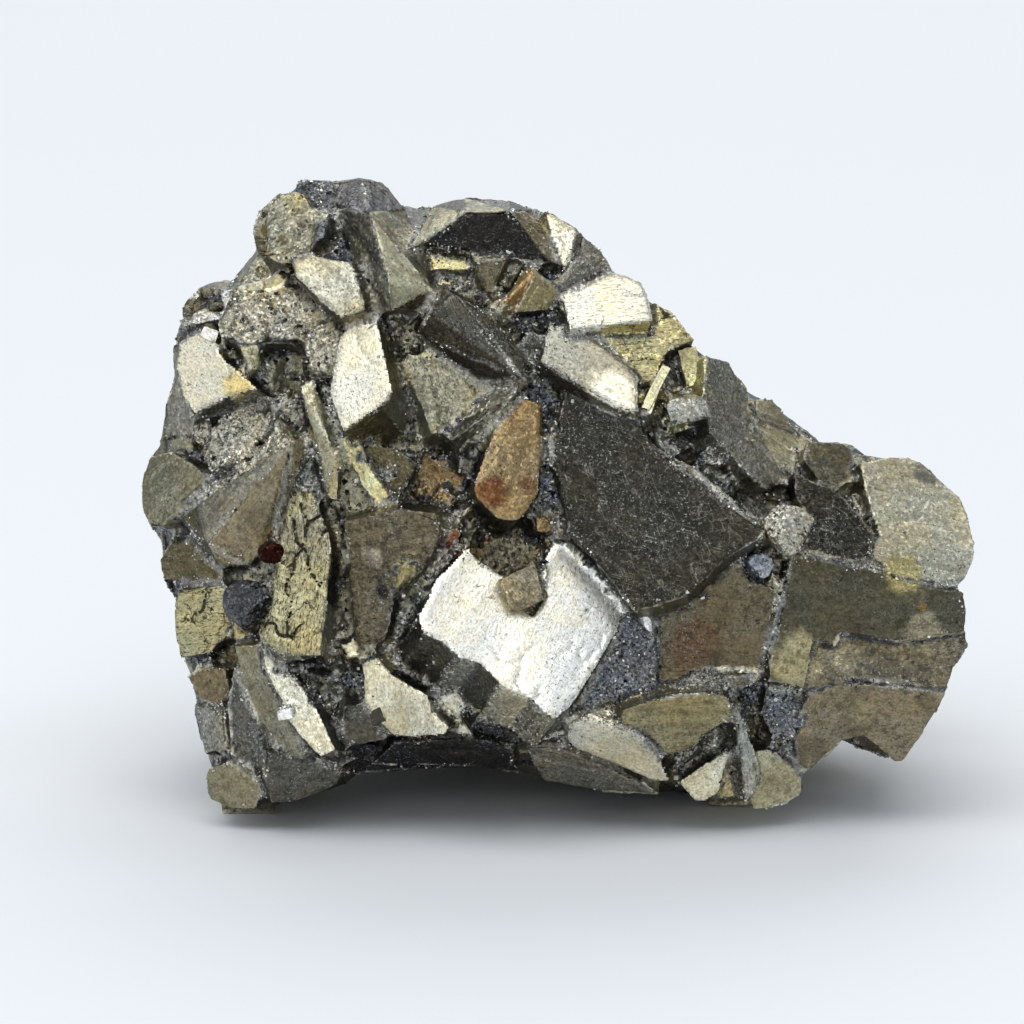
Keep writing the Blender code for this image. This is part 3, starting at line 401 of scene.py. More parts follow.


# Finish colours: partly tarnish, partly painted reflection of the room.
FINISHES = {
    "cream": finish((226, 224, 207), (190, 180, 144), stained=0.22, dull=0.36, cracked=0.35,
                    lined=0.12, scratched=0.1, grainy=0.03, edged=0.3, stepped=0.04),
    "pale": finish((208, 205, 184), (150, 144, 118), stained=0.45, dull=0.34, cracked=0.35,
                   grainy=0.25, stepped=0.25, pitted=0.15),
    "polished": finish((184, 181, 164), (146, 140, 116), stained=0.4, dull=0.3,
                       cracked=0.1, grainy=0.1, stepped=0.06),
    "crumbly": finish((214, 211, 194), (126, 122, 106), stained=0.45, dull=0.34,
                      cracked=0.2, lined=0.1, grainy=0.9, edged=1.0, pitted=0.08,
                      bulging=0.8),
    "lumpy": finish((176, 174, 156), (104, 101, 84), stained=0.5, dull=0.36, cracked=0.2,
                    lined=0.1, grainy=0.7, edged=0.8, stepped=0.4, pitted=0.3,
                    bulging=1.0),
    "yellow": finish((182, 176, 138), (122, 115, 88), stained=0.35, dull=0.36, cracked=0.95,
                     grainy=0.2, edged=0.7),
    "brass": finish((230, 216, 160), (170, 153, 104), stained=0.3, dull=0.3, grainy=0.2),
    "gold": finish((160, 152, 118), (102, 95, 70), dull=0.36, lined=0.7, scratched=0.5,
                   grainy=0.3, edged=0.4),
    "olive": finish((146, 143, 122), (94, 91, 75), dull=0.38, grainy=0.25, edged=0.35),
    "mottled": finish((146, 139, 118), (70, 66, 56), stained=0.55, dull=0.4, cracked=0.4,
                      grainy=0.5, edged=0.35, stepped=0.3, pitted=0.2),
    "brown": finish((126, 118, 98), (76, 70, 58), dull=0.4, grainy=0.25, edged=0.35),
    "rust": finish((142, 124, 92), (114, 92, 66), stained=0.4, dull=0.4, scratched=0.5,
                   grainy=0.35),
    "red": finish((84, 38, 26), (48, 24, 18), stained=0.4, dull=0.3, lined=0.1,
                  grainy=0.1),
    "dark": finish((91, 90, 82), (58, 57, 52), dull=0.34, scratched=1.0, grainy=0.35,
                   cracked=0.2),
    "black": finish((62, 62, 62), (40, 40, 40), dull=0.34, scratched=0.5, grainy=0.4,
                    cracked=0.2),
    "grey": finish((162, 162, 154), (106, 105, 97), dull=0.34, grainy=0.6, edged=0.9),
    "blue_grey": finish((118, 123, 131), (66, 68, 74), dull=0.36, cracked=0.1, lined=0.1,
                        grainy=0.9, stepped=0.2),
}
finish_names = list(FINISHES)


def each_finish(field):
    """One field of all finishes, in a row each."""
    return np.array([FINISHES[name][field] for name in finish_names], float)


print("finishes:", len(FINISHES))

# %% [markdown]
# Each spot names a crystal face of the photograph, the pixel where it is read, and its
# finish. Two faces of one finish rarely look equally light, because each mirrors another
# part of the room. A few coarse steps of tone paint that into the colour: they say which
# named faces are darker or lighter than their finish, as painted reflection and painted
# shade.

# %% Faces named by a pixel
SPOTS = {
    "top_left_lump": (295, 228, "lumpy"), "top_left_cap": (319, 196, "blue_grey"),
    "pale_rough": (335, 292, "pale"), "crust_bed": (262, 322, "crumbly"),
    "dark_shoulder": (205, 302, "lumpy"), "cream_left": (205, 376, "cream"),
    "olive_chip": (257, 362, "olive"), "left_rim": (178, 392, "grey"),
    "speckled_left": (248, 436, "crumbly"), "left_bulge": (169, 486, "olive"),
    "left_olive": (195, 562, "gold"), "blocky_yellow": (205, 620, "yellow"),
    "tall_yellow": (305, 580, "yellow"), "bright_upper_left": (363, 384, "cream"),
    "brushed_gold": (357, 470, "gold"), "pitted_gold": (401, 468, "gold"),
    "olive_hollow": (437, 394, "olive"), "brass_bar": (449, 273, "brass"),
    "brown_wedge": (491, 284, "brown"), "back_pale_chip": (423, 206, "grey"),
    "broken_bright": (566, 245, "pale"), "dark_top_right": (590, 270, "dark"),
    "bright_plate": (603, 312, "cream"), "pale_slope": (583, 368, "polished"),
    "yellow_slope": (655, 345, "yellow"), "splinter": (651, 392, "brass"),
    "tan_chip": (687, 370, "gold"), "rust_centre": (515, 464, "rust"),
    "big_dark": (631, 506, "dark"), "big_dark_edge": (700, 475, "grey"),
    "notched_bright": (523, 640, "cream"), "mottled_left": (375, 572, "mottled"),
    "olive_sliver": (409, 575, "gold"), "rust_chip": (455, 540, "rust"),
    "grey_infill_right": (630, 656, "blue_grey"), "rust_right": (700, 624, "brown"),
    "rust_right_step": (707, 681, "grey"), "dark_upper_right": (728, 418, "dark"),
    "right_shoulder": (777, 425, "olive"), "right_dark": (827, 528, "dark"),
    "right_olive": (823, 464, "olive"), "right_pale": (915, 520, "pale"),
    "right_block": (845, 600, "olive"), "right_block_low": (905, 660, "mottled"),
    "right_skirt": (875, 720, "brown"), "grey_infill_low": (776, 712, "blue_grey"),
    "low_gold": (671, 718, "gold"), "low_rim": (745, 735, "grey"),
    "foot_right": (775, 785, "olive"), "pale_step": (705, 772, "pale"),
    "olive_step": (727, 776, "gold"), "low_slope": (615, 742, "polished"),
    # Under the arch, the black finish of this face is painted shade.
    "arch_left": (430, 754, "black"), "arch_right": (585, 776, "dark"),
    "low_bright": (403, 700, "pale"), "low_bright_edge": (440, 712, "pale"),
    "low_dark": (361, 722, "dark"), "leg_olive": (262, 690, "olive"),
    "leg_bright": (300, 700, "pale"), "leg_brown": (215, 682, "brown"),
    "leg_grey": (249, 720, "grey"), "leg_left": (213, 732, "grey"),
    "foot_left": (237, 784, "olive"), "foot_left_side": (310, 774, "dark"),
    "long_ridge_left": (355, 240, "dark"), "long_ridge_right": (403, 270, "olive"),
    "roof_front": (489, 240, "black"), "roof_left": (435, 236, "olive"),
    "roof_right": (542, 250, "mottled"), "roof_top": (489, 207, "grey"),
    "gold_wedge_right": (541, 300, "gold"), "gold_wedge_left": (511, 298, "rust"),
    "dark_wedge_low": (451, 340, "brown"), "dark_wedge_high": (490, 335, "dark"),
    "grey_ridge": (483, 410, "grey"), "grey_ridge_low": (475, 430, "dark"),
    "left_ledge_face": (245, 522, "brown"), "left_ledge_high": (229, 500, "dark"),
    "left_ledge_low": (285, 505, "gold"),
    "olive_strip_right": (335, 442, "olive"), "olive_strip_left": (313, 432, "gold"),
    "notch_cube": (523, 586, "mottled"), "spike": (851, 744, "brown"),
}
LOOSE_GRAINS = {
    "grey_pebble": (683, 412, "grey"), "bright_grain": (780, 533, "crumbly"),
    "dark_grain": (750, 563, "blue_grey"), "corner_grain": (402, 336, "grey"),
    "ridge_grain": (420, 440, "crumbly"), "centre_grain": (553, 430, "grey"),
    "white_grain": (643, 620, "pale"), "radial_lump": (256, 601, "blue_grey"),
    "shoulder_grain": (215, 338, "cream"), "red_grain": (278, 551, "red"),
    # The leg flash grain is a flake painted at the brightest tone, as a painted highlight.
    "small_grain": (766, 584, "crumbly"), "leg_painted_flash": (293, 708, "cream"),
}
# Tone steps: painted reflection and painted shade, face by face.
PAINTED_LIGHT_TONES = {
    0.3: ("left_ledge_low", "dark_wedge_low", "red_grain"),
    0.45: ("right_block", "left_olive", "pitted_gold", "spike", "back_pale_chip",
           "right_olive", "leg_grey", "roof_top", "big_dark", "right_dark"),
    0.65: ("radial_lump", "pale_slope", "olive_strip_left", "rust_right_step",
           "roof_front", "mottled_left"),
    0.8: ("tall_yellow", "cream_left", "pale_rough", "bright_upper_left", "top_left_cap",
          "rust_right", "bright_plate"),
    1.4: ("broken_bright", "notched_bright", "right_skirt", "yellow_slope", "low_dark",
          "roof_left", "grey_ridge", "rust_chip", "low_bright", "big_dark_edge",
          "grey_infill_low", "rust_centre", "low_slope", "notch_cube", "foot_left_side",
          "grey_pebble", "top_left_lump", "low_rim", "leg_bright", "pale_step",
          "olive_step", "left_ledge_face", "grey_infill_right"),
    2.0: ("dark_upper_right", "foot_right", "long_ridge_right", "splinter",
          "gold_wedge_left", "dark_top_right", "centre_grain", "white_grain",
          "shoulder_grain"),
    2.8: ("dark_shoulder", "brushed_gold", "olive_sliver", "arch_right",
          "low_bright_edge", "long_ridge_left", "left_ledge_high", "olive_strip_right",
          "grey_ridge_low", "dark_grain", "olive_chip", "tan_chip", "leg_painted_flash"),
}
painted_light_tone_of = {name: tone for tone, names in PAINTED_LIGHT_TONES.items() for name in names}
print("named:", len(SPOTS), "faces and", len(LOOSE_GRAINS), "grains")

# %% [markdown]
# A ray through a spot's pixel finds its face. Loose grains have many small faces, so all
# small faces close to their pixel take one finish.

# %% Finding the named faces
GRAIN_REACH = 0.9
GRAIN_FACE_MM2 = 1.2


def cast_spot(column, row):
    """The crystal face under a pixel, and the place where the ray meets it."""
    place, _, index, _ = surface_tree.ray_cast(pixel_to_place(column, row), view_ahead)
    return (None, None) if index is None else (face_of_triangle[index], place)


named_face = {}
spot_places = KDTree(len(SPOTS))
for number, (name, (column, row, kind)) in enumerate(SPOTS.items()):
    found, place = cast_spot(column, row)
    if found in named_face:
        print("spot", name, "shares the face of", named_face[found])
    named_face.setdefault(found, (name, kind))
    spot_places.insert(place, number)
spot_places.balance()
for name, (column, row, kind) in LOOSE_GRAINS.items():
    _, place = cast_spot(column, row)
    near = np.linalg.norm(face_middle - np.array(place), axis=1) < GRAIN_REACH
    for number in np.flatnonzero(near & (face_area < GRAIN_FACE_MM2)):
        named_face.setdefault(number, (name, kind))
print("faces with a name:", len(named_face), "of", face_count)

# %% [markdown]
# Faces in front that no spot names take the finish of the nearest spot, and its tone up
# to a limit. The sides of crystals take a dark finish by chance, which is partly their
# own tarnish and partly painted shade. All that the photograph doesn't show takes one by
# chance, in about the shares that the front has. All of these differ a little in tone by
# chance.

# %% Which face has which finish
HIDDEN_SHARES = {"olive": 0.2, "dark": 0.2, "grey": 0.12, "gold": 0.1, "mottled": 0.1,
                 "pale": 0.09, "yellow": 0.07, "polished": 0.06, "cream": 0.03,
                 "brown": 0.03}
# Crystal sides: dark finishes, partly tarnish and partly painted shade.
SHADED_SIDE_SHARES = {"dark": 0.45, "black": 0.2, "olive": 0.25, "grey": 0.1}
SIDE_LEAN = 0.45
IN_FRONT = -0.12
DARKEST, TONE_SPREAD = 0.8, 0.4
LIGHTEST_UNNAMED = 1.4


def by_chance(shares, dice):
    """One of the names, in the given shares, for a number from 0 to 1."""
    limits = np.cumsum(list(shares.values()))
    place = min(int(np.searchsorted(limits, dice * limits[-1])), len(shares) - 1)
    return list(shares)[place]


face_finish = []
face_tone = DARKEST + TONE_SPREAD * face_dice[:, 0]
toward = -np.array(view_ahead)
for number in range(face_count):
    facing = face_normal[number] @ toward
    dice = face_dice[number, 1]
    if number in named_face:
        name, kind = named_face[number]
        face_finish.append(kind)
        face_tone[number] = painted_light_tone_of.get(name, 1.0)
    elif face_middle[number] @ toward < 0.0 or facing < IN_FRONT:
        face_finish.append(by_chance(HIDDEN_SHARES, dice))
    elif facing < SIDE_LEAN:
        face_finish.append(by_chance(SHADED_SIDE_SHARES, dice))
    else:
        nearest = spot_places.find(face_middle[number])[1]
        face_finish.append(list(SPOTS.values())[nearest][2])
        # An unnamed front face takes the nearest spot's painted light tone, capped.
        tone = painted_light_tone_of.get(list(SPOTS)[nearest], 1.0)
        face_tone[number] *= min(tone, LIGHTEST_UNNAMED)
face_kind = np.array([finish_names.index(name) for name in face_finish])
print("faces by finish:", {n: int((face_kind == i).sum()) for i, n in enumerate(finish_names)})

# %% [markdown]
# Now the net is shaped. A crystal face grows in thin sheets, so its surface is a flight
# of very low steps. Noise that is long along the face and short across it, cut into
# levels, gives them.

# %% Growth steps
STEP_LEVELS = 6
TREAD = 0.7
STEP_ALONG, STEP_ACROSS, STEP_APART = 0.13, 0.75, 300.0


def terraces(values, levels):
    """Turns a slope into flat treads with short risers."""
    raised = values * levels
    tread = np.floor(raised)
    return (tread + rise(TREAD, 1.0, raised - tread)) / levels


def growth_steps(facts):
    """How deep each point lies in its face's flight of steps, in mm."""
    dice = face_dice[facts["face"], 2]
    height = each_finish("stepped")[face_kind[facts["face"]]]
    grid = np.stack([facts["along"] * STEP_ALONG, facts["across"] * STEP_ACROSS,
                     dice * STEP_APART], axis=1)
    return height * terraces(rough_noise(grid, seed=21), STEP_LEVELS)


# %% [markdown]
# Brittle crystals chip at their edges, in flakes of different sizes, and crack in blocks
# that follow the crystal's own directions. Cells long along the face and short across it
# give the blocks. Small holes are where a grain fell out.

# %% Chips, cracks and holes
CHIP_WIDTH = 0.5
CHIP_DEPTH = 0.2
FLAKE_DEPTH = 0.07
CRACK_DEPTH = 0.1
HOLE_DEPTH = 0.2
CELLS_APART = 900.0
CELL_MARGIN, CELL_SPREAD = 0.15, 0.7
OUT_OF_REACH = 9.0


def cells(along, across, dice):
    """Cell pattern on a face: how far to the nearest middle, and to the cell's border."""
    place = np.stack([along, across, np.floor(dice * CELLS_APART)], axis=1)
    home = np.floor(place).astype(np.int64)
    first = np.full(len(place), OUT_OF_REACH)
    second = np.full(len(place), OUT_OF_REACH)
    for i in (-1, 0, 1):
        for j in (-1, 0, 1):
            corner = home + np.array((i, j, 0))
            x = corner[:, 0] + CELL_MARGIN + CELL_SPREAD * lattice(corner, seed=11)
            y = corner[:, 1] + CELL_MARGIN + CELL_SPREAD * lattice(corner, seed=12)
            far = np.hypot(place[:, 0] - x, place[:, 1] - y)
            second = np.where(far < first, first, np.minimum(second, far))
            first = np.minimum(first, far)
    return first, second - first


def edge_chips(facts, points):
    """How deep the chips along outer edges are, in mm."""
    crumbling = 0.2 + 0.8 * each_finish("edged")[face_kind[facts["face"]]]
    near = 1.0 - rise(0.0, 1.0, facts["outer"] / (CHIP_WIDTH * crumbling))
    near *= crumbling
    chipped = rise(0.5, 0.7, rough_noise(points * 0.9, seed=31))
    flaked = rough_noise(points * 4.0, seed=41, layers=2)
    return CHIP_DEPTH * chipped * near**1.5 + FLAKE_DEPTH * near * flaked


def block_cracks(facts, points):
    """Open cracks around blocks, from 0 to 1."""
    dice = face_dice[facts["face"], 2]
    along = facts["along"] * 0.34 + 0.35 * noise(points * 1.3, seed=51)
    across = facts["across"] * 0.85 + 0.5 * noise(points * 1.3, seed=52)
    _, border = cells(along, across, dice)
    zone = rise(0.45, 0.6, noise(points * 0.45, seed=53))
    amount = each_finish("look")[face_kind[facts["face"]], 2]
    return (1.0 - rise(0.01, 0.07, border)) * zone * amount


def holes(facts, points):
    """Small holes in the middle of some cells, from 0 to 1."""
    dice = face_dice[facts["face"], 3]
    middle, _ = cells(facts["along"] * 0.9, facts["across"] * 1.2, dice)
    zone = rise(0.5, 0.6, noise(points * 0.7, seed=54))
    amount = each_finish("pitted")[face_kind[facts["face"]]]
    return (1.0 - rise(0.1, 0.28, middle)) * zone * amount


# %% [markdown]
# The gaps between crystals, the crumbled rims and the grainy faces are lumpy down to a
# few tenths of a millimetre. Crumbly faces are also hollowed, in broad bulges, and the
# whole stone wanders a little from the straight lines of the solid. Every change goes
# inwards or nearly so and fades out at the ground, so the stone keeps its size and
# stands as before.

# %% Lumps, and all of it together
LUMP_HEIGHT = 0.12
BULGE_HEIGHT = 0.45
WANDER = 0.14
GROUND = 0.02
KEEP_BELOW = 0.12


def lumps(facts, points):
    """How far lumps and bulges lie below the face, in mm."""
    kind = face_kind[facts["face"]]
    in_gap = np.maximum(1.0 - rise(0.05, 0.25, facts["inner"]), facts["filling"])
    at_rim = (1.0 - rise(0.05, 0.45, facts["outer"])) * each_finish("edged")[kind] * 0.5
    on_face = 0.6 * each_finish("marks")[kind, 2]
    amount = np.maximum(np.maximum(in_gap, at_rim), on_face)
    small = LUMP_HEIGHT * amount * (
        rough_noise(points * 3.4, seed=61, layers=2) * 2.0 - 0.7)
    bulging = each_finish("bulging")[kind] * rise(0.35, 0.75, noise(points * 1.3, seed=62))
    return small + BULGE_HEIGHT * bulging


def shaped(points, normals):
    """The net's points, moved to the worn and broken surface."""
    facts = know(points)
    sunk = growth_steps(facts) + edge_chips(facts, points) + lumps(facts, points)
    sunk += CRACK_DEPTH * block_cracks(facts, points) + HOLE_DEPTH * holes(facts, points)
    wander = np.stack([noise(points * 0.3, seed) for seed in (71, 72, 73)], axis=1) - 0.5
    held = rise(0.0, KEEP_BELOW, points[:, 2] - GROUND)[:, None]
    print("deepest mark, mm:", round(float(sunk.max()), 2))
    return points + (wander * WANDER - normals * sunk[:, None]) * held


crystals.data.vertices.foreach_set(
    "co", shaped(read_points(crystals.data), read_points(crystals.data, "normal")).ravel())
crystals.data.update()

# %% [markdown]
# The net now has far more triangles than its flat parts need. The next two helpers cut
# out the part that is inside a box, and thin a part out. The rims of the cuts are kept as
# they are, so that neighbours meet exactly and no seam shows.

# %% Cutting and thinning
RIM_KEPT = 0.02


def add_box(low, high):
    """A plain box between two corners, to cut with."""
    shape = bmesh.new()
    bmesh.ops.create_cube(shape, size=1.0)
    for vert in shape.verts:
        share = vert.co + Vector((0.5, 0.5, 0.5))
        vert.co = [a + (b - a) * s for a, b, s in zip(low, high, share)]
    mesh = bpy.data.meshes.new("cutter")
    shape.to_mesh(mesh)
    shape.free()
    return put_in_scene("cutter", mesh)


def cut_out(source, name, low, high):
    """The part of a closed mesh that is inside a box, as a closed mesh of its own."""
    box = add_box(low, high)
    part = put_in_scene(name, source.data.copy())
    cut = part.modifiers.new("cut", "BOOLEAN")
    cut.operation = "INTERSECT"
    cut.solver = "MANIFOLD"
    cut.object = box
    part.data = evaluated_mesh(part)
    bpy.data.objects.remove(box)
    return part


def thin_out(thing, triangles, low, high):
    """Merges the net's flattest triangles, but none on the rims of the box it was cut by."""
    points = read_points(thing.data)
    on_rim = np.minimum(np.abs(points - low), np.abs(points - high)).min(axis=1) < RIM_KEPT
    free = thing.vertex_groups.new(name="free")
    free.add(np.flatnonzero(~on_rim).tolist(), 1.0, "REPLACE")
    thing.data.calc_loop_triangles()
    now = len(thing.data.loop_triangles)
    thinner = thing.modifiers.new("thinner", "DECIMATE")
    thinner.ratio = min(1.0, triangles / now)
    thinner.vertex_group = free.name
    thing.data = evaluated_mesh(thing)
    thing.vertex_groups.clear()
    thing.data.calc_loop_triangles()
    print(thing.name, now, "triangles, now", len(thing.data.loop_triangles))


# %% [markdown]
# The stone is cut into a back and three slices of the front, all closed, and each is
# thinned by itself. The front, which the photograph shows, keeps about four times as many
# triangles per square millimetre as the back.

# %% Front, back and slices
BACK_FROM = 3.0
FRONT_TRIANGLES = 435_000
BACK_TRIANGLES = 125_000
SLICES = 3
FAR = 60.0
front_columns = read_points(crystals.data)
front_columns = front_columns[front_columns[:, 1] < BACK_FROM, 0]
limits = [-FAR, *np.quantile(front_columns, np.arange(1, SLICES) / SLICES), FAR]
boxes = {"crystals_back": ((-FAR, BACK_FROM, -FAR), (FAR, FAR, FAR), BACK_TRIANGLES)}
for number in range(SLICES):
    boxes[f"crystals_front_{number + 1}"] = (
        (limits[number], -FAR, -FAR), (limits[number + 1], BACK_FROM, FAR),
        FRONT_TRIANGLES // SLICES)
slices = []
for name, (low, high, triangles) in boxes.items():
    part = cut_out(crystals, name, low, high)
    thin_out(part, triangles, low, high)
    slices.append(part)
bpy.data.objects.remove(crystals)

# %% [markdown]
# Some faces have a stain of their own in the photograph, such as a rusty corner. A few
# bright patches and sparkles are painted highlights instead. Each is named here by its
# pixel, its radius in millimetres and its colour. The radius is torn by noise, so a patch
# never ends in a neat circle.

# %% Stains and painted highlights seen in the photograph
STAIN_REACH = 1.4
LOCAL_STAINS_AND_HIGHLIGHTS = {
    "yellow_on_cream": (246, 388, 1.0, (206, 192, 142)),
    "yellow_on_lump": (300, 205, 0.8, (196, 188, 146)),
    "blue_on_lump": (325, 236, 0.9, (120, 124, 132)),
    "white_on_shoulder": (215, 333, 0.35, (235, 232, 218)),
    "pale_on_block": (792, 655, 1.6, (190, 182, 146)),
    "pale_on_block_right": (838, 652, 1.0, (176, 170, 146)),
    "band_on_block": (915, 630, 1.3, (160, 154, 130)),
    "gold_on_block": (912, 605, 0.35, (150, 124, 74)),
    "red_on_rust": (493, 492, 1.0, (120, 84, 60)),
    "red_beside_it": (528, 486, 0.6, (118, 86, 62)),
    "red_on_chip": (454, 542, 0.9, (136, 86, 60)),
    "red_on_rust_right": (688, 640, 1.5, (112, 92, 74)),
    "light_on_infill": (625, 628, 0.7, (150, 156, 170)),
    "white_on_mottled": (376, 556, 0.6, (220, 217, 204)),
    "dark_on_mottled": (388, 590, 0.5, (50, 50, 54)),
    "yellow_on_mottled": (411, 579, 1.3, (196, 186, 134)),
    "olive_on_tall": (318, 530, 1.7, (146, 143, 120)),
    "brown_on_wedge": (275, 540, 0.8, (120, 104, 74)),
    # The leg flash, the two bright patches below it and the low sparkle are painted
    # highlights, not stains.
    "painted_flash_on_leg": (295, 708, 0.45, (255, 252, 244)),
    "painted_highlight_on_leg": (325, 738, 0.6, (240, 236, 214)),
    "painted_highlight_on_low": (432, 712, 1.0, (246, 242, 222)),
    "yellow_on_right": (895, 572, 1.3, (196, 186, 134)),
    "grey_on_right": (920, 472, 0.9, (140, 140, 132)),
    "pale_on_skirt": (850, 712, 0.8, (150, 144, 118)),
    "light_on_slope": (610, 398, 1.4, (226, 222, 204)),
    "painted_sparkle_low": (640, 765, 1.0, (214, 210, 190)),
}


def stain_and_highlight_colours(points, colours):
    """Blends each local stain or painted highlight into the colours of the points around its
    place.
    """
    for number, (column, row, radius, colour) in enumerate(LOCAL_STAINS_AND_HIGHLIGHTS.values()):
        _, place = cast_spot(column, row)
        far = np.linalg.norm(points - np.array(place), axis=1) / radius
        near = np.flatnonzero(far < STAIN_REACH)
        ragged = far[near] + 0.7 * (
            rough_noise(points[near] * 2.2, seed=81 + number) - 0.5)
        share = (1.0 - rise(0.6, 1.0, ragged))[:, None]
        colours[near] = colours[near] * (1.0 - share) + as_light(colour) * share
    return colours


print("stains:", len(LOCAL_STAINS_AND_HIGHLIGHTS))

# %% [markdown]
# The finish travels with the mesh. Colours and amounts are stored on its points, and a
# UV map holds each face's own frame in millimetres, so that striations and cracks follow
# the crystal and not the world.

# %% Storing a finish on a mesh
BRIGHTEST = 0.95
PATTERN_SHIFT = 400.0


def store(mesh, name, values):
    """Stores a number, a triple or a colour on every point."""
    kinds = {1: ("FLOAT", "value"), 3: ("FLOAT_VECTOR", "vector"), 4: ("FLOAT_COLOR", "color")}
    values = np.asarray(values, float).reshape(len(mesh.vertices), -1)
    kind_name, field = kinds[values.shape[1]]
    made = mesh.attributes.new(name, kind_name, "POINT")
    made.data.foreach_set(field, values.ravel())


def store_face_frame(mesh, points, on_face):
    """A UV map: place along and across the crystal face, shifted by chance per face."""
    corner_point = np.zeros(len(mesh.loops), int)
    mesh.loops.foreach_get("vertex_index", corner_point)
    starts = np.zeros(len(mesh.polygons), int)
    mesh.polygons.foreach_get("loop_start", starts)
    totals = np.zeros(len(mesh.polygons), int)
    mesh.polygons.foreach_get("loop_total", totals)
    corner_face = np.repeat(on_face[corner_point[starts]], totals)
    along, across = face_frame(points[corner_point], corner_face)
    shift = face_dice[corner_face, 3] * PATTERN_SHIFT
    layer = mesh.uv_layers.new(name="face_mm")
    layer.data.foreach_set("uv", np.stack([along + shift, across + shift], axis=1).ravel())


def with_alpha(colours):
    """Colours in four columns, fully opaque."""
    return np.concatenate([colours, np.ones((len(colours), 1))], axis=1)


def store_finish(mesh, kind, colours, stains, edges, crack):
    """All that the face material reads from the points."""
    store(mesh, "face_tint", with_alpha(colours))
    store(mesh, "stain_tint", with_alpha(stains))
    store(mesh, "look", each_finish("look")[kind])
    store(mesh, "marks", each_finish("marks")[kind])
    store(mesh, "edges", edges)
    store(mesh, "crack", crack)


# %% [markdown]
# On the slices, the filling of a gap has a finish of its own, which changes from place to
# place. Masks stored beside the finish say where the crust may grow: dark grains in the
# gaps, bright crumbs along the rims, both on grainy faces, and small crystals on the
# filling. There are fewer on the far side and none at the ground.

# %% Finish and masks on the slices
FILLINGS = ("blue_grey", "dark", "olive", "grey")
FILLING_SIZE = 2.5
tint = np.minimum(each_finish("colour")[face_kind] * face_tone[:, None], BRIGHTEST)
stain = each_finish("stain")[face_kind] * face_tone[:, None]


def fill_kinds(points):
    """The finish of a gap's filling, which changes from place to place."""
    place = np.clip((noise(points / FILLING_SIZE, seed=97) - 0.25) * 2.0, 0.0, 0.999)
    kinds = np.array([finish_names.index(name) for name in FILLINGS])
    return kinds[(place * len(FILLINGS)).astype(int)]


def store_masks(mesh, facts, points, kind):
    """Where the crust may grow, from 0 to 1."""
    facing = read_points(mesh, "normal") @ toward
    seen = (0.35 + 0.65 * rise(-0.2, 0.3, facing)) * rise(0.1, 0.5, points[:, 2])
    ragged = 0.6 * noise(points * 1.1, seed=95) - 0.2
    in_gap = 1.0 - rise(0.05, 0.25, facts["inner"] + ragged)
    in_gap = np.maximum(in_gap, facts["filling"])
    grainy = each_finish("marks")[kind, 2]
    crusted = rise(0.65, 0.9, grainy)
    store(mesh, "gap_grains", seen * np.maximum(in_gap, 0.5 * crusted))
    ragged = 0.8 * noise(points * 0.9, seed=96) - 0.3
    at_rim = 1.0 - rise(0.1, 0.4, facts["outer"] + ragged)
    at_rim *= each_finish("edged")[kind]
    store(mesh, "rim_grains", seen * np.maximum(at_rim, 0.5 * crusted))
    store(mesh, "wedged", seen * facts["filling"])


def dress(mesh):
    """Stores finish, masks and face frame on one slice."""
    points = read_points(mesh)
    facts = know(points)
    on_face = facts["face"]
    filled = facts["filling"] > 0.5
    kind = np.where(filled, fill_kinds(points), face_kind[on_face])
    colours = np.where(filled[:, None], each_finish("colour")[kind], tint[on_face])
    stains = np.where(filled[:, None], each_finish("stain")[kind], stain[on_face])
    edges = np.stack([facts["outer"], facts["inner"], each_finish("edged")[kind]], axis=1)
    store_finish(mesh, kind, stain_and_highlight_colours(points, colours), stains, edges,
                 block_cracks(facts, points))
    store_masks(mesh, facts, points, kind)
    store_face_frame(mesh, points, on_face)


for part in slices:
    dress(part.data)
print("points dressed:", sum(len(part.data.vertices) for part in slices))

# %% [markdown]
# Materials and crust are node trees. A few short helpers add the nodes that are needed
# most, and link them in the same line, so that a tree reads like a sum.

# %% Helpers for nodes


def add(tree, kind, inputs=None, **settings):
    """Adds a node. An input is a number, a colour, or a socket to link."""
    made = tree.nodes.new(kind)
    for name, value in settings.items():
        setattr(made, name, value)
    for name, value in (inputs or {}).items():
        plug(tree, made.inputs[name], value)
    return made


def plug(tree, socket, value):
    """Links a socket to an input, or sets the input to a value."""
    if isinstance(value, bpy.types.NodeSocket):
        tree.links.new(value, socket)
    else:
        socket.default_value = value


def maths(tree, operation, a, b=0.0, clamp=False):
    """Arithmetic on one or two numbers or sockets."""
    made = add(tree, "ShaderNodeMath", {0: a, 1: b}, operation=operation)
    made.use_clamp = clamp
    return made.outputs[0]


def ramp(tree, value, low, high, out_low=0.0, out_high=1.0):
    """A smooth ramp from out_low at low to out_high at high."""
    return add(tree, "ShaderNodeMapRange", {
        "Value": value, "From Min": low, "From Max": high, "To Min": out_low,
        "To Max": out_high}, interpolation_type="SMOOTHSTEP").outputs["Result"]


def blend(tree, share, a, b, mode="MIX"):
    """The colour a with a share of the colour b, mixed or in another mode."""
    made = add(tree, "ShaderNodeMix", data_type="RGBA", blend_type=mode)
    for number, value in ((0, share), (6, a), (7, b)):
        plug(tree, made.inputs[number], value)
    return made.outputs[2]


def vectors(tree, operation, a, b):
    """Arithmetic on two vectors."""
    return add(tree, "ShaderNodeVectorMath", {0: a, 1: b}, operation=operation).outputs[0]


def scaled_vector(tree, vector, factor):
    """A vector or colour times a number."""
    return add(tree, "ShaderNodeVectorMath", {0: vector, "Scale": factor},
               operation="SCALE").outputs[0]


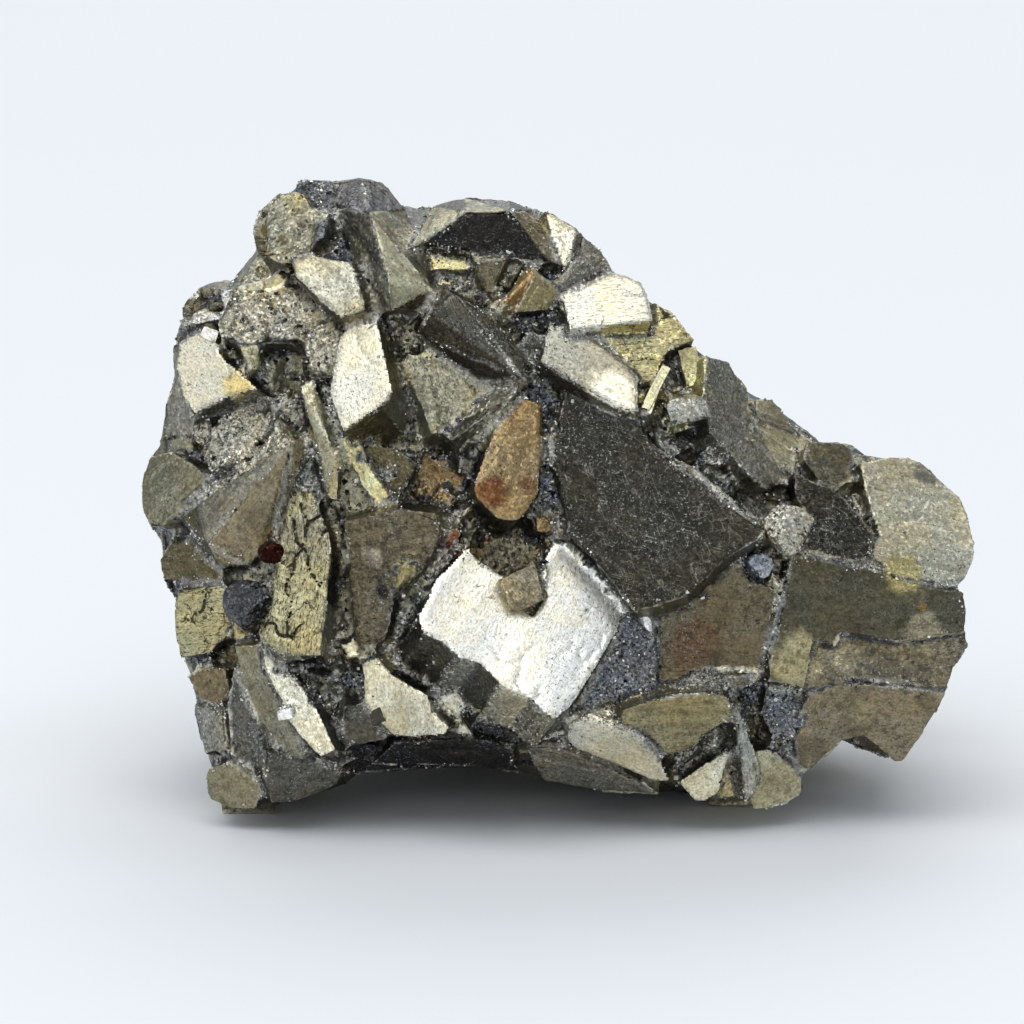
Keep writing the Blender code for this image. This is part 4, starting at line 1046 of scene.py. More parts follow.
def noise_texture(tree, place, scale, detail=3.0, roughness=0.55, output="Fac"):
    """Smooth noise, with more detail from finer noise on top."""
    return add(tree, "ShaderNodeTexNoise", {
        "Vector": place, "Scale": scale, "Detail": detail,
        "Roughness": roughness}).outputs[output]


# %% [markdown]
# The materials share a few effects, so each effect is a node group of its own: hairline
# cracks, growth lines, scratches, blotches of tarnish, glints and ragged edge bands. A
# group gives back only a mask, a height or a normal. The shader stays in the material.

# %% Helpers for node groups
NUMBER, VECTOR = "NodeSocketFloat", "NodeSocketVector"


def new_group(name, inputs, outputs):
    """An empty node group with named inputs and outputs."""
    group = bpy.data.node_groups.new(name, "ShaderNodeTree")
    for label, start in inputs.items():
        kind = VECTOR if start is None else NUMBER
        socket = group.interface.new_socket(label, in_out="INPUT", socket_type=kind)
        if start is not None:
            socket.default_value = start
    for label, kind in outputs.items():
        group.interface.new_socket(label, in_out="OUTPUT", socket_type=kind)
    start = group.nodes.new("NodeGroupInput")
    end = group.nodes.new("NodeGroupOutput")
    return group, start.outputs, end.inputs


def set_inputs(tree, node, **inputs):
    """Sets or links a node's inputs by name, with an underline for a space."""
    for name, value in inputs.items():
        plug(tree, node.inputs[name.replace("_", " ")], value)


def use(tree, group, **inputs):
    """Places a node group and gives its outputs."""
    made = add(tree, "ShaderNodeGroup", node_tree=group)
    set_inputs(tree, made, **inputs)
    return made.outputs


# %% [markdown]
# Pyrite is brittle. Its faces are crossed by hairline cracks, some closed and dark, some
# only a thread. They run mostly one way, with short cross pieces. The borders of a
# stretched cell pattern, bent by noise and broken off by more noise, read as such cracks.

# %% Hairline cracks


def make_cracks():
    """Threads between stretched cells. More cracks show as the amount grows."""
    group, start, end = new_group(
        "hairline_cracks",
        {"Vector": None, "Cells": 1.0, "Stretch": 0.4, "Width": 0.03, "Amount": 0.5},
        {"Mask": NUMBER})
    bend = noise_texture(group, start["Vector"], scale=2.2, detail=2.0, roughness=0.6,
                         output="Color")
    moved = vectors(group, "ADD", start["Vector"],
                    vectors(group, "MULTIPLY", bend, (0.9, 0.5, 0.0)))
    pressed = add(group, "ShaderNodeCombineXYZ", {0: start["Stretch"], 1: 1.0, 2: 1.0})
    long_cells = vectors(group, "MULTIPLY", moved, pressed.outputs[0])
    cell = add(group, "ShaderNodeTexVoronoi", {"Vector": long_cells, "Scale": start["Cells"]},
               feature="DISTANCE_TO_EDGE")
    thinned = noise_texture(group, start["Vector"], scale=1.4, detail=0.0)
    width = maths(group, "MULTIPLY", start["Width"], ramp(group, thinned, 0.3, 0.7, 0.4, 1.6))
    line = add(group, "ShaderNodeMapRange", {
        "Value": cell.outputs["Distance"], "From Min": 0.0, "From Max": width,
        "To Min": 1.0, "To Max": 0.0})
    patch = noise_texture(group, start["Vector"], scale=0.8, detail=2.0, roughness=0.65)
    limit = maths(group, "SUBTRACT", 0.72, maths(group, "MULTIPLY", start["Amount"], 0.34))
    broken = ramp(group, maths(group, "SUBTRACT", patch, limit), 0.0, 0.06)
    group.links.new(maths(group, "MULTIPLY", line.outputs[0], broken), end["Mask"])
    return group


hairline_cracks = make_cracks()

# %% [markdown]
# Growth lines are the fine parallel striations on a pyrite cube. Noise squeezed hard
# across the face and stretched along it gives lines that start, stop and vary. Scratches
# are the same idea turned at an angle and kept only where the noise is highest.

# %% Growth lines and scratches


def stretched_noise(group, place, along, across, detail):
    """Noise squeezed more one way than the other."""
    scale = add(group, "ShaderNodeCombineXYZ", {0: along, 1: across, 2: 1.0})
    squeezed = vectors(group, "MULTIPLY", place, scale.outputs[0])
    return noise_texture(group, squeezed, scale=1.0, detail=detail, roughness=0.6)


def make_lines():
    """Coarse striations with fine ones between them."""
    group, start, end = new_group(
        "growth_lines", {"Vector": None, "Coarse": 2.2, "Fine": 9.0}, {"Height": NUMBER})
    coarse = stretched_noise(group, start["Vector"], along=0.22, across=start["Coarse"],
                             detail=2.0)
    fine = stretched_noise(group, start["Vector"], along=0.6, across=start["Fine"],
                           detail=1.0)
    total = maths(group, "ADD", coarse, maths(group, "MULTIPLY", fine, 0.4))
    group.links.new(total, end["Height"])
    return group


def make_scratches():
    """Two sets of fine scratches that cross each other."""
    group, start, end = new_group(
        "scratches", {"Vector": None, "Amount": 0.5}, {"Mask": NUMBER})
    total = 0.0
    for angle, along, across in ((0.6, 0.8, 15.0), (-0.35, 1.1, 19.0)):
        slanted = add(group, "ShaderNodeVectorRotate", {
            "Vector": start["Vector"], "Angle": angle}, rotation_type="Z_AXIS")
        lines = stretched_noise(group, slanted.outputs[0], along, across, detail=0.0)
        total = maths(group, "MAXIMUM", total, ramp(group, lines, 0.66, 0.76))
    patch = noise_texture(group, start["Vector"], scale=1.1, detail=0.0)
    some = maths(group, "MULTIPLY", ramp(group, patch, 0.45, 0.65), start["Amount"])
    group.links.new(maths(group, "MULTIPLY", total, some), end["Mask"])
    return group


growth_lines = make_lines()
scratches = make_scratches()

# %% [markdown]
# Tarnish comes in blotches with ragged borders, from specks to whole faces. One noise
# with a movable limit gives both, and the limit follows how stained a face is.

# %% Blotches


def make_blotches():
    """Blotches of a given size. More of the surface is covered as the amount grows."""
    group, start, end = new_group(
        "tarnish_blotches",
        {"Vector": None, "Size": 1.0, "Amount": 0.5, "Softness": 0.1}, {"Mask": NUMBER})
    scale = maths(group, "DIVIDE", 1.0, start["Size"])
    spots = noise_texture(group, start["Vector"], scale=scale, detail=3.0, roughness=0.62)
    limit = maths(group, "SUBTRACT", 0.72, maths(group, "MULTIPLY", start["Amount"], 0.44))
    share = add(group, "ShaderNodeMapRange", {
        "Value": maths(group, "SUBTRACT", spots, limit), "From Min": 0.0,
        "From Max": start["Softness"]})
    group.links.new(share.outputs[0], end["Mask"])
    return group


tarnish_blotches = make_blotches()

# %% [markdown]
# A grainy patch is a heap of crystals too small to model. Each cell of a cell pattern
# leans its own way, so a few catch the light and sparkle while the rest stay dark. A mask
# of a few bright cells is given too, with which glints are painted into the colour.

# %% Glints


def make_glints():
    """A leaning normal, a mask of cells for painted glints and a shade for each cell."""
    group, start, end = new_group(
        "glints", {"Vector": None, "Cells": 8.0, "Lean": 0.5},
        {"Normal": VECTOR, "Mask": NUMBER, "Shade": NUMBER})
    cell = add(group, "ShaderNodeTexVoronoi", {
        "Vector": start["Vector"], "Scale": start["Cells"]})
    centred = vectors(group, "SUBTRACT", cell.outputs["Color"], (0.5, 0.5, 0.5))
    lean = scaled_vector(group, centred, maths(group, "MULTIPLY", start["Lean"], 2.0))
    surface = add(group, "ShaderNodeNewGeometry")
    leaning = vectors(group, "ADD", surface.outputs["Normal"], lean)
    unit = add(group, "ShaderNodeVectorMath", {0: leaning}, operation="NORMALIZE")
    parts = add(group, "ShaderNodeSeparateColor", {"Color": cell.outputs["Color"]})
    group.links.new(unit.outputs[0], end["Normal"])
    group.links.new(ramp(group, parts.outputs[1], 0.8, 0.92), end["Mask"])
    group.links.new(parts.outputs[2], end["Shade"])
    return group


glints = make_glints()

# %% [markdown]
# Rims are crumbled and gaps are filled in bands that are never even. The distance from
# the nearest edge, disturbed by noise, gives a ragged band.

# %% Ragged bands along edges


def make_band():
    """A torn band of a given width along an edge."""
    group, start, end = new_group(
        "edge_band", {"Vector": None, "Distance": 1.0, "Width": 0.2, "Raggedness": 0.3},
        {"Mask": NUMBER})
    torn = noise_texture(group, start["Vector"], scale=1.3, detail=4.0, roughness=0.72)
    moved = maths(group, "MULTIPLY", maths(group, "SUBTRACT", torn, 0.5),
                  maths(group, "MULTIPLY", start["Raggedness"], 2.0))
    away = maths(group, "ADD", start["Distance"], moved)
    band = add(group, "ShaderNodeMapRange", {
        "Value": away, "From Min": maths(group, "MULTIPLY", start["Width"], 0.6),
        "From Max": start["Width"], "To Min": 1.0, "To Max": 0.0})
    group.links.new(band.outputs[0], end["Mask"])
    return group


edge_band = make_band()

# %% [markdown]
# Materials read what is stored on the mesh, and places in millimetres on the piece
# itself. The next helpers fetch both.

# %% Helpers for materials


def stored(tree, name, output="Vector"):
    """A value stored on the mesh's points."""
    return add(tree, "ShaderNodeAttribute", attribute_name=name).outputs[output]


def three(tree, vector):
    """The three numbers of a triple."""
    parts = add(tree, "ShaderNodeSeparateXYZ", {0: vector})
    return parts.outputs[0], parts.outputs[1], parts.outputs[2]


def in_millimetres(tree):
    """The place on the piece, in millimetres."""
    return scaled_vector(tree, add(tree, "ShaderNodeTexCoord").outputs["Object"], 1.0 / MM)


def new_material(name):
    """A material, its tree and its shader."""
    made = bpy.data.materials.new(name)
    made.use_nodes = True
    surface = made.node_tree.nodes["Principled BSDF"]
    return made, made.node_tree, surface


def scaled(tree, value, factor):
    """One number or socket times another."""
    return maths(tree, "MULTIPLY", value, factor)


def grey(tree, value):
    """A grey colour of this brightness."""
    return add(tree, "ShaderNodeCombineColor", {0: value, 1: value, 2: value}).outputs[0]


# %% [markdown]
# The material of the crystal faces reads the finish stored on the mesh and lays the
# shared effects over it. It is a long one, so it is built in steps. The first gathers
# what the mesh stores, and says where each effect is, as masks from 0 to 1: stains,
# specks, striations, cracks, scratches, crumbled rims that carry a painted highlight,
# filled gaps, painted shade at the bottom of the gaps, and sparkle.

# %% Crystal faces: where each effect is


def blotches(tree, place, size, amount, softness):
    """Tarnish of one size, from specks to patches."""
    return use(tree, tarnish_blotches, Vector=place, Size=size, Amount=amount,
               Softness=softness)["Mask"]


def threads(tree, place, stretch, width, amount):
    """Hairline cracks of one width."""
    return use(tree, hairline_cracks, Vector=place, Cells=1.5, Stretch=stretch, Width=width,
               Amount=amount)["Mask"]


def ragged_band(tree, place, distance, width):
    """A torn band along the edges that lie at the given distance."""
    return use(tree, edge_band, Vector=place, Distance=distance, Width=width,
               Raggedness=0.3)["Mask"]


def face_facts(tree):
    """What the mesh stores for the crystal faces."""
    at = SimpleNamespace(place=in_millimetres(tree))
    at.flat = add(tree, "ShaderNodeUVMap", uv_map="face_mm").outputs[0]
    at.stained, at.dull, at.cracked = three(tree, stored(tree, "look"))
    at.lined, at.scratched, at.grainy = three(tree, stored(tree, "marks"))
    at.to_outer, at.to_inner, at.edged = three(tree, stored(tree, "edges"))
    at.tint = stored(tree, "face_tint", "Color")
    at.stain_tint = stored(tree, "stain_tint", "Color")
    return at


def add_masks(tree, at):
    """Adds where each effect is."""
    at.lines = use(tree, growth_lines, Vector=at.flat)["Height"]
    at.wide = blotches(tree, at.place, size=2.4, amount=at.stained, softness=0.2)
    at.small = blotches(tree, at.place, size=0.4, amount=at.stained, softness=0.15)
    at.specks = blotches(tree, at.flat, size=0.15, amount=0.26, softness=0.04)
    # White flecks: painted glints.
    at.flecks = blotches(tree, at.place, size=0.11, amount=0.27, softness=0.05)
    thread = threads(tree, at.flat, stretch=0.5, width=0.035, amount=at.cracked)
    at.open_crack = ramp(tree, stored(tree, "crack", "Fac"), 0.2, 0.6)
    at.crack = maths(tree, "MAXIMUM", thread, at.open_crack)
    at.pale_thread = threads(tree, at.flat, stretch=0.8, width=0.03,
                             amount=scaled(tree, at.scratched, 0.7))
    dash = stretched_noise(tree, at.flat, along=3.0, across=13.0, detail=1.0)
    at.dash = maths(tree, "MULTIPLY", ramp(tree, dash, 0.59, 0.66),
                    maths(tree, "ADD", scaled(tree, at.cracked, 0.9), 0.15), clamp=True)
    at.scratch = use(tree, scratches, Vector=at.flat,
                     Amount=scaled(tree, at.scratched, 0.45))["Mask"]
    # rim: the crumbled rim band, which also carries a painted edge highlight.
    at.rim = scaled(tree, ragged_band(tree, at.place, at.to_outer, width=0.26), at.edged)
    at.filled = ragged_band(tree, at.place, at.to_inner, width=0.16)
    # deep: painted shade, black at the bottom of the gaps.
    at.deep = ramp(tree, at.to_inner, 0.02, 0.09, 1.0, 0.0)
    at.heap = maths(tree, "MAXIMUM", scaled(tree, at.grainy, 0.8),
                    maths(tree, "MAXIMUM", at.rim, at.filled))
    at.spark = use(tree, glints, Vector=at.place, Cells=8.0,
                   Lean=scaled(tree, at.heap, 0.75))
    at.drift = noise_texture(tree, at.place, scale=0.35, detail=3.0)
    at.patchy = ramp(tree, at.drift, 0.42, 0.6, 0.3, 1.0)


# %% [markdown]
# The second step is the face's own colour, with its stains, its warm and cool drifts, its
# striations and a fine unevenness.

# %% Crystal faces: their own colour
WHITE = (1.0, 1.0, 1.0, 1.0)
WARM, COOL = (1.08, 1.0, 0.86, 1.0), (0.97, 0.99, 1.02, 1.0)


def own_colour(tree, at):
    """The face without any marks."""
    face = blend(tree, scaled(tree, at.wide, 0.8), at.tint, at.stain_tint)
    face = blend(tree, scaled(tree, at.small, 0.6), face, at.stain_tint)
    hue = blend(tree, ramp(tree, at.drift, 0.35, 0.65), WARM, COOL)
    face = blend(tree, 1.0, face, hue, "MULTIPLY")
    streak = grey(tree, ramp(tree, at.lines, 0.45, 0.95, 0.7, 1.2))
    face = blend(tree, 1.0, face, blend(tree, at.lined, WHITE, streak), "MULTIPLY")
    tone = noise_texture(tree, at.place, scale=8.0, detail=3.0, roughness=0.7)
    tone = ramp(tree, tone, 0.3, 0.7, 0.76, 1.27)
    return blend(tree, 1.0, face, grey(tree, tone), "MULTIPLY")


# %% [markdown]
# The third step lays marks over the colour. The pale ones are scratches, crumbled rims
# with a painted edge highlight and painted glints, the crumbs that fill the gaps, and
# white flecks, which are painted glints. The dark ones are dashes, specks, cracks, and
# painted shade at the bottom of the gaps.

# %% Crystal faces: pale and dark marks
# Crumbled rims carry a painted edge highlight; this colour is crumbs and painted highlight
# both.
CRUMB_AND_HIGHLIGHT_COLOUR = (0.62, 0.62, 0.58, 1.0)
GAP_COLOUR = (0.085, 0.088, 0.094, 1.0)
SCRATCH_COLOUR = (0.5, 0.49, 0.44, 1.0)
BLACK = (0.012, 0.012, 0.012, 1.0)
PAINTED_GLINT_COLOUR = (0.86, 0.85, 0.8, 1.0)


def with_pale_marks(tree, at, face):
    """Scratches, rims with a painted highlight, crumbs and painted glints over the face."""
    light = maths(tree, "MAXIMUM", at.scratch, scaled(tree, at.pale_thread, 0.4))
    face = blend(tree, scaled(tree, light, 0.55), face, SCRATCH_COLOUR)
    rim_crumbs_and_highlight = blend(tree, at.spark["Mask"], CRUMB_AND_HIGHLIGHT_COLOUR, PAINTED_GLINT_COLOUR)
    face = blend(tree, scaled(tree, at.rim, 0.75), face, rim_crumbs_and_highlight)
    # Gap crumbs, with painted glints on their bright cells.
    gap_crumbs_and_glints = blend(tree, scaled(tree, at.spark["Mask"], 0.5), GAP_COLOUR, CRUMB_AND_HIGHLIGHT_COLOUR)
    face = blend(tree, scaled(tree, at.filled, 0.8), face, gap_crumbs_and_glints)
    in_heap = scaled(tree, at.grainy, ramp(tree, at.spark["Shade"], 0.0, 1.0, 0.9, -0.1))
    in_heap = maths(tree, "MULTIPLY", in_heap, 0.6, clamp=True)
    face = blend(tree, in_heap, face, at.stain_tint)
    near_rim = maths(tree, "MULTIPLY", ramp(tree, at.to_outer, 0.2, 1.1, 1.0, 0.0), at.edged)
    sprinkled = maths(tree, "MAXIMUM", at.grainy, scaled(tree, at.scratched, 0.4))
    sprinkled = maths(tree, "MAXIMUM", sprinkled, near_rim)
    sprinkled = maths(tree, "MULTIPLY", sprinkled, scaled(tree, at.patchy, 0.8))
    # Painted glints: white flecks, more on grainy faces and near rims.
    return blend(tree, maths(tree, "MULTIPLY", at.flecks, sprinkled), face, PAINTED_GLINT_COLOUR)


def with_dark_marks(tree, at, face):
    """Dashes, specks, cracks and painted shade deep in the gaps over the face."""
    dash_shade = scaled_vector(tree, at.stain_tint, 0.35)
    face = blend(tree, scaled(tree, at.dash, 0.75), face, dash_shade)
    specks = maths(tree, "MULTIPLY", at.specks, scaled(tree, at.patchy, 0.85))
    # deep paints shade at the bottom of the gaps.
    for mark in (specks, scaled(tree, at.crack, 0.9), scaled(tree, at.deep, 0.75)):
        face = blend(tree, mark, face, BLACK)
    return face


# %% [markdown]
# The last step joins the colour with how dull the face is and with a relief too fine for
# the mesh: striations, grit, cracks and dashes. Pyrite is a bare metal, so its colour is
# the colour of its reflections.

# %% Crystal faces: the material
FACE_RELIEF = 0.06 * MM


def face_roughness(tree, at):
    """Duller where there is tarnish and in the gaps, and brighter in a heap."""
    rough = maths(tree, "ADD", at.dull, scaled(tree, at.small, 0.12))
    rough = maths(tree, "SUBTRACT", rough, scaled(tree, at.heap, 0.06))
    return maths(tree, "ADD", rough, scaled(tree, at.deep, 0.4), clamp=True)


def relief(tree, height, distance, strength, spark):
    """A bump over the sparkling cells, as a normal."""
    return add(tree, "ShaderNodeBump", {
        "Height": height, "Distance": distance, "Strength": strength,
        "Normal": spark["Normal"]}).outputs[0]


def face_height(tree, at):
    """The relief: striations and grit, less cracks and dashes."""
    grit = noise_texture(tree, at.place, scale=6.0, detail=3.0, roughness=0.68)
    crumbled = maths(tree, "MAXIMUM", at.grainy, ramp(tree, at.to_inner, 0.1, 0.3, 1.0, 0.0))
    worn = maths(tree, "ADD", crumbled, 0.16)
    height = maths(tree, "ADD", scaled(tree, at.lines, scaled(tree, at.lined, 0.55)),
                   scaled(tree, grit, worn))
    height = maths(tree, "SUBTRACT", height, at.open_crack)
    return maths(tree, "SUBTRACT", height, scaled(tree, at.dash, 0.4))


def make_face_material():
    """All steps together."""
    made, tree, surface = new_material("pyrite_faces")
    at = face_facts(tree)
    add_masks(tree, at)
    face = with_pale_marks(tree, at, own_colour(tree, at))
    covered = scaled(tree, maths(tree, "MAXIMUM", at.wide, at.filled), 0.3)
    set_inputs(tree, surface, Base_Color=with_dark_marks(tree, at, face),
               Roughness=face_roughness(tree, at),
               Metallic=maths(tree, "SUBTRACT", 1.0, covered),
               Normal=relief(tree, face_height(tree, at), FACE_RELIEF, 0.8, at.spark))
    return made


pyrite_faces = make_face_material()

# %% [markdown]
# Three more materials are for the crust: blue-grey grains in the gaps, brighter crumbs
# along the rims, and small crystals wedged between the large ones. Every grain carries a
# number of its own, which picks its shade, so neighbours stand apart.

# %% The crust's materials
GRAIN_RELIEF = 0.03 * MM


def make_grain_material(name, dark, middle, light, dull, lined=0.0):
    """Three shades, from the darkest grains to the lightest, and how dull they are."""
    made, tree, surface = new_material(name)
    place = in_millimetres(tree)
    own = stored(tree, "grain_shade", "Fac")
    patch = blotches(tree, place, size=0.5, amount=0.5, softness=0.25)
    spark = use(tree, glints, Vector=place, Cells=6.0, Lean=0.1)
    shade = blend(tree, ramp(tree, own, 0.1, 0.55), dark, middle)
    shade = blend(tree, ramp(tree, own, 0.7, 0.95), shade, light)
    shade = blend(tree, scaled(tree, patch, 0.5), shade, dark)
    # Painted glints on a few bright cells.
    shade = blend(tree, scaled(tree, spark["Mask"], 0.4), shade, PAINTED_GLINT_COLOUR)
    grit = noise_texture(tree, place, scale=9.0, detail=3.0, roughness=0.65)
    lines = use(tree, growth_lines, Vector=place)["Height"]
    height = maths(tree, "ADD", grit, scaled(tree, lines, lined))
    set_inputs(tree, surface, Base_Color=shade, Metallic=1.0,
               Roughness=maths(tree, "ADD", scaled(tree, patch, 0.12), dull),
               Normal=relief(tree, height, GRAIN_RELIEF, 0.6, spark))
    return made


gap_material = make_grain_material(
    "gap_grains", (0.035, 0.037, 0.042, 1.0), (0.14, 0.146, 0.152, 1.0),
    (0.74, 0.74, 0.7, 1.0), 0.26)
rim_material = make_grain_material(
    "rim_grains", (0.26, 0.26, 0.23, 1.0), (0.5, 0.49, 0.43, 1.0),
    (0.86, 0.85, 0.78, 1.0), 0.24)
crystal_material = make_grain_material(
    "small_crystals", (0.05, 0.048, 0.04, 1.0), (0.12, 0.114, 0.09, 1.0),
    (0.24, 0.23, 0.18, 1.0), 0.38, 0.8)

# %% [markdown]
# The crust itself is thousands of tiny crystals. Geometry Nodes strews them on the stone
# where a mask stored on its points allows, each one of four uneven blocks, turned and
# stretched by chance, and sunk a little into what it lies on. The blocks come first: a
# cube for each, with its corners moved by chance.

# %% Uneven blocks
BLOCKS = 4


def random_number(tree, seed):
    """A number from 0 to 1 for each grain."""
    return add(tree, "FunctionNodeRandomValue", {"Seed": seed},
               data_type="FLOAT").outputs[1]


def random_vector(tree, low, high, seed):
    """Three numbers from low to high for each grain or corner."""
    made = add(tree, "FunctionNodeRandomValue", {"Seed": seed}, data_type="FLOAT_VECTOR")
    made.inputs[0].default_value = (low,) * 3
    made.inputs[1].default_value = (high,) * 3
    return made.outputs[0]


def uneven_blocks(group, unevenness):
    """A few cubes with their corners moved by chance, to pick from."""
    blocks = add(group, "GeometryNodeJoinGeometry")
    for number in range(BLOCKS):
        cube = add(group, "GeometryNodeMeshCube")
        shift = scaled_vector(group, random_vector(group, -1.0, 1.0, number), unevenness)
        uneven = add(group, "GeometryNodeSetPosition", {
            "Geometry": cube.outputs["Mesh"], "Offset": shift})
        loose = add(group, "GeometryNodeGeometryToInstance", {0: uneven.outputs[0]})
        group.links.new(loose.outputs[0], blocks.inputs[0])
    return blocks.outputs[0]


# %% [markdown]
# The tree throws points on the surface, sets a block on each, turns and stretches it, and
# gives it a shade and a material. Most grains are small and a few are large, as in any
# crushed stone. All that differs from one kind of grain to another is a named input.

# %% The tree that strews grains
FULL_TURN = 2.0 * math.pi
FEW_LARGE = 2.5
NARROWEST = 0.55


def strewing_sockets(group):
    """The tree's inputs and output."""
    new_socket = group.interface.new_socket
    new_socket("Surface", in_out="INPUT", socket_type="NodeSocketGeometry")
    for label, start in (("Grains per mm2", 5.0), ("Smallest", 0.08), ("Largest", 0.2),
                         ("Unevenness", 0.2), ("Sunk", 0.1)):
        new_socket(label, in_out="INPUT", socket_type=NUMBER).default_value = start
    new_socket("Mask", in_out="INPUT", socket_type="NodeSocketString")
    new_socket("Seed", in_out="INPUT", socket_type="NodeSocketInt")
    new_socket("Material", in_out="INPUT", socket_type="NodeSocketMaterial")
    new_socket("Grains", in_out="OUTPUT", socket_type="NodeSocketGeometry")
    start = group.nodes.new("NodeGroupInput")
    end = group.nodes.new("NodeGroupOutput")
    return start.outputs, end.inputs


def grain_sizes(group, start):
    """Each grain's size, small for most of them."""
    large = maths(group, "POWER", random_number(group, 21), FEW_LARGE)
    growth = maths(group, "SUBTRACT", start["Largest"], start["Smallest"])
    return maths(group, "ADD", start["Smallest"], maths(group, "MULTIPLY", large, growth))


def make_strewing():
    """Strews grains on a surface where its mask allows."""
    group = bpy.data.node_groups.new("strewn_grains", "GeometryNodeTree")
    start, end = strewing_sockets(group)
    mask = add(group, "GeometryNodeInputNamedAttribute", {"Name": start["Mask"]},
               data_type="FLOAT")
    density = maths(group, "MULTIPLY", mask.outputs[0], start["Grains per mm2"])
    spread = add(group, "GeometryNodeDistributePointsOnFaces", {
        "Mesh": start["Surface"], "Density": density, "Seed": start["Seed"]})
    size = grain_sizes(group, start)
    sides = scaled_vector(group, random_vector(group, NARROWEST, 1.0, 22), size)
    down = maths(group, "MULTIPLY", size, maths(group, "MULTIPLY", start["Sunk"], -1.0))
    lowered = add(group, "GeometryNodeSetPosition", {
        "Geometry": spread.outputs["Points"],
        "Offset": scaled_vector(group, spread.outputs["Normal"], down)})
    placed = add(group, "GeometryNodeInstanceOnPoints", {
        "Points": lowered.outputs[0], "Instance": uneven_blocks(group, start["Unevenness"]),
        "Pick Instance": True, "Rotation": random_vector(group, 0.0, FULL_TURN, 23),
        "Scale": sides})
    shaded = add(group, "GeometryNodeStoreNamedAttribute", {
        "Geometry": placed.outputs[0], "Name": "grain_shade",
        "Value": random_number(group, 24)}, data_type="FLOAT", domain="INSTANCE")
    solid_grains = add(group, "GeometryNodeRealizeInstances", {0: shaded.outputs[0]})
    coloured = add(group, "GeometryNodeSetMaterial", {
        "Geometry": solid_grains.outputs[0], "Material": start["Material"]})
    group.links.new(coloured.outputs[0], end["Grains"])
    return group


strewn_grains = make_strewing()

# %% [markdown]
# The tree runs on a copy of each slice, once for each kind of grain, and leaves a plain
# mesh. A heap says which material and mask its grains use, how many there are to a square
# millimetre, the smallest and the largest in mm, how uneven they are and how far they are
# sunk. The back and the left end share one piece, and the middle and the right another.

# %% Strewing grains


def strew(name, surface, material, mask, per_mm2, smallest, largest, uneven, sunk, seed):
    """Grains on a copy of the surface, as a plain mesh of their own."""
    thing = put_in_scene(name, surface.data.copy())
    nodes = thing.modifiers.new("strew", "NODES")
    nodes.node_group = strewn_grains
    chosen = {"Grains per mm2": per_mm2, "Smallest": smallest, "Largest": largest,
              "Unevenness": uneven, "Sunk": sunk, "Mask": mask, "Seed": seed,
              "Material": material}
    for item in strewn_grains.interface.items_tree:
        if item.name in chosen:
            nodes[item.identifier] = chosen[item.name]
    thing.data = evaluated_mesh(thing)
    thing.data.calc_loop_triangles()
    print(name, len(thing.data.loop_triangles), "triangles")
    return thing


THIN = 1.0
HEAPS = {"gap_grains": (gap_material, "gap_grains", 9.0 * THIN, 0.07, 0.26, 0.2, 0.1),
         "rim_grains": (rim_material, "rim_grains", 60.0 * THIN, 0.05, 0.16, 0.2, 0.1),
         "small_crystals": (crystal_material, "wedged", 0.6, 0.4, 1.15, 0.08, 0.35)}
crust = []
for heap, settings in HEAPS.items():
    heaps = [strew(f"{heap}_{n}", part, *settings, n) for n, part in enumerate(slices)]
    for name, some in ((f"{heap}_left", heaps[:2]), (f"{heap}_right", heaps[2:])):
        whole = joined(name, some)
        whole.data.materials.append(settings[0])
        crust.append(whole)

# %% [markdown]
# Some grains are large enough to be known one by one: a bright pebble at the right with
# a dark lump beside it, a red grain at the left, thin splinters. Each is a ball cut flat by
# planes. Planes at right angles make a block, and planes at every angle make a pebble. A
# row gives a grain's width, height and depth in mm, its turn in degrees, and how square
# it is.

# %% Shapes of the grains known one by one
GRAIN_SIZES = {
    "grey_pebble": (2.0, 1.3, 1.3, 12, 0.7), "bright_grain": (2.4, 2.5, 1.9, 20, 0.0),
    "dark_grain": (1.3, 1.4, 1.2, 0, 0.0), "small_grain": (0.9, 1.3, 0.9, 10, 0.0),
    "corner_grain": (0.55, 0.5, 0.5, 0, 0.0), "ridge_grain": (0.5, 0.5, 0.5, 0, 0.0),
    "centre_grain": (0.6, 0.9, 0.6, 10, 0.0), "white_grain": (0.95, 0.5, 0.5, -50, 0.5),
    "radial_lump": (2.3, 2.1, 1.0, 0, 0.0), "shoulder_grain": (0.8, 0.6, 0.5, -20, 1.0),
    # The leg flash grain stands for a painted highlight.
    "red_grain": (1.2, 1.1, 0.9, 0, 0.0), "leg_painted_flash": (0.8, 0.5, 0.25, 10, 0.6),
    "splinter": (0.45, 2.3, 0.8, -27, 1.0), "tan_chip": (0.9, 1.9, 0.7, 14, 1.0),
    "notch_cube": (1.9, 1.7, 1.6, 24, 1.0),
}
GRAIN_PLANES = 11
GRAIN_SEED = 500
BLOCK_FROM = 0.4
BALL_FINENESS = 4


def ball():
    """Points and triangles of a ball of radius 1."""
    shape = bmesh.new()
    bmesh.ops.create_icosphere(shape, subdivisions=BALL_FINENESS, radius=1.0)
    points = np.array([vert.co for vert in shape.verts])
    faces = np.array([[vert.index for vert in face.verts] for face in shape.faces])
    shape.free()
    return points, faces


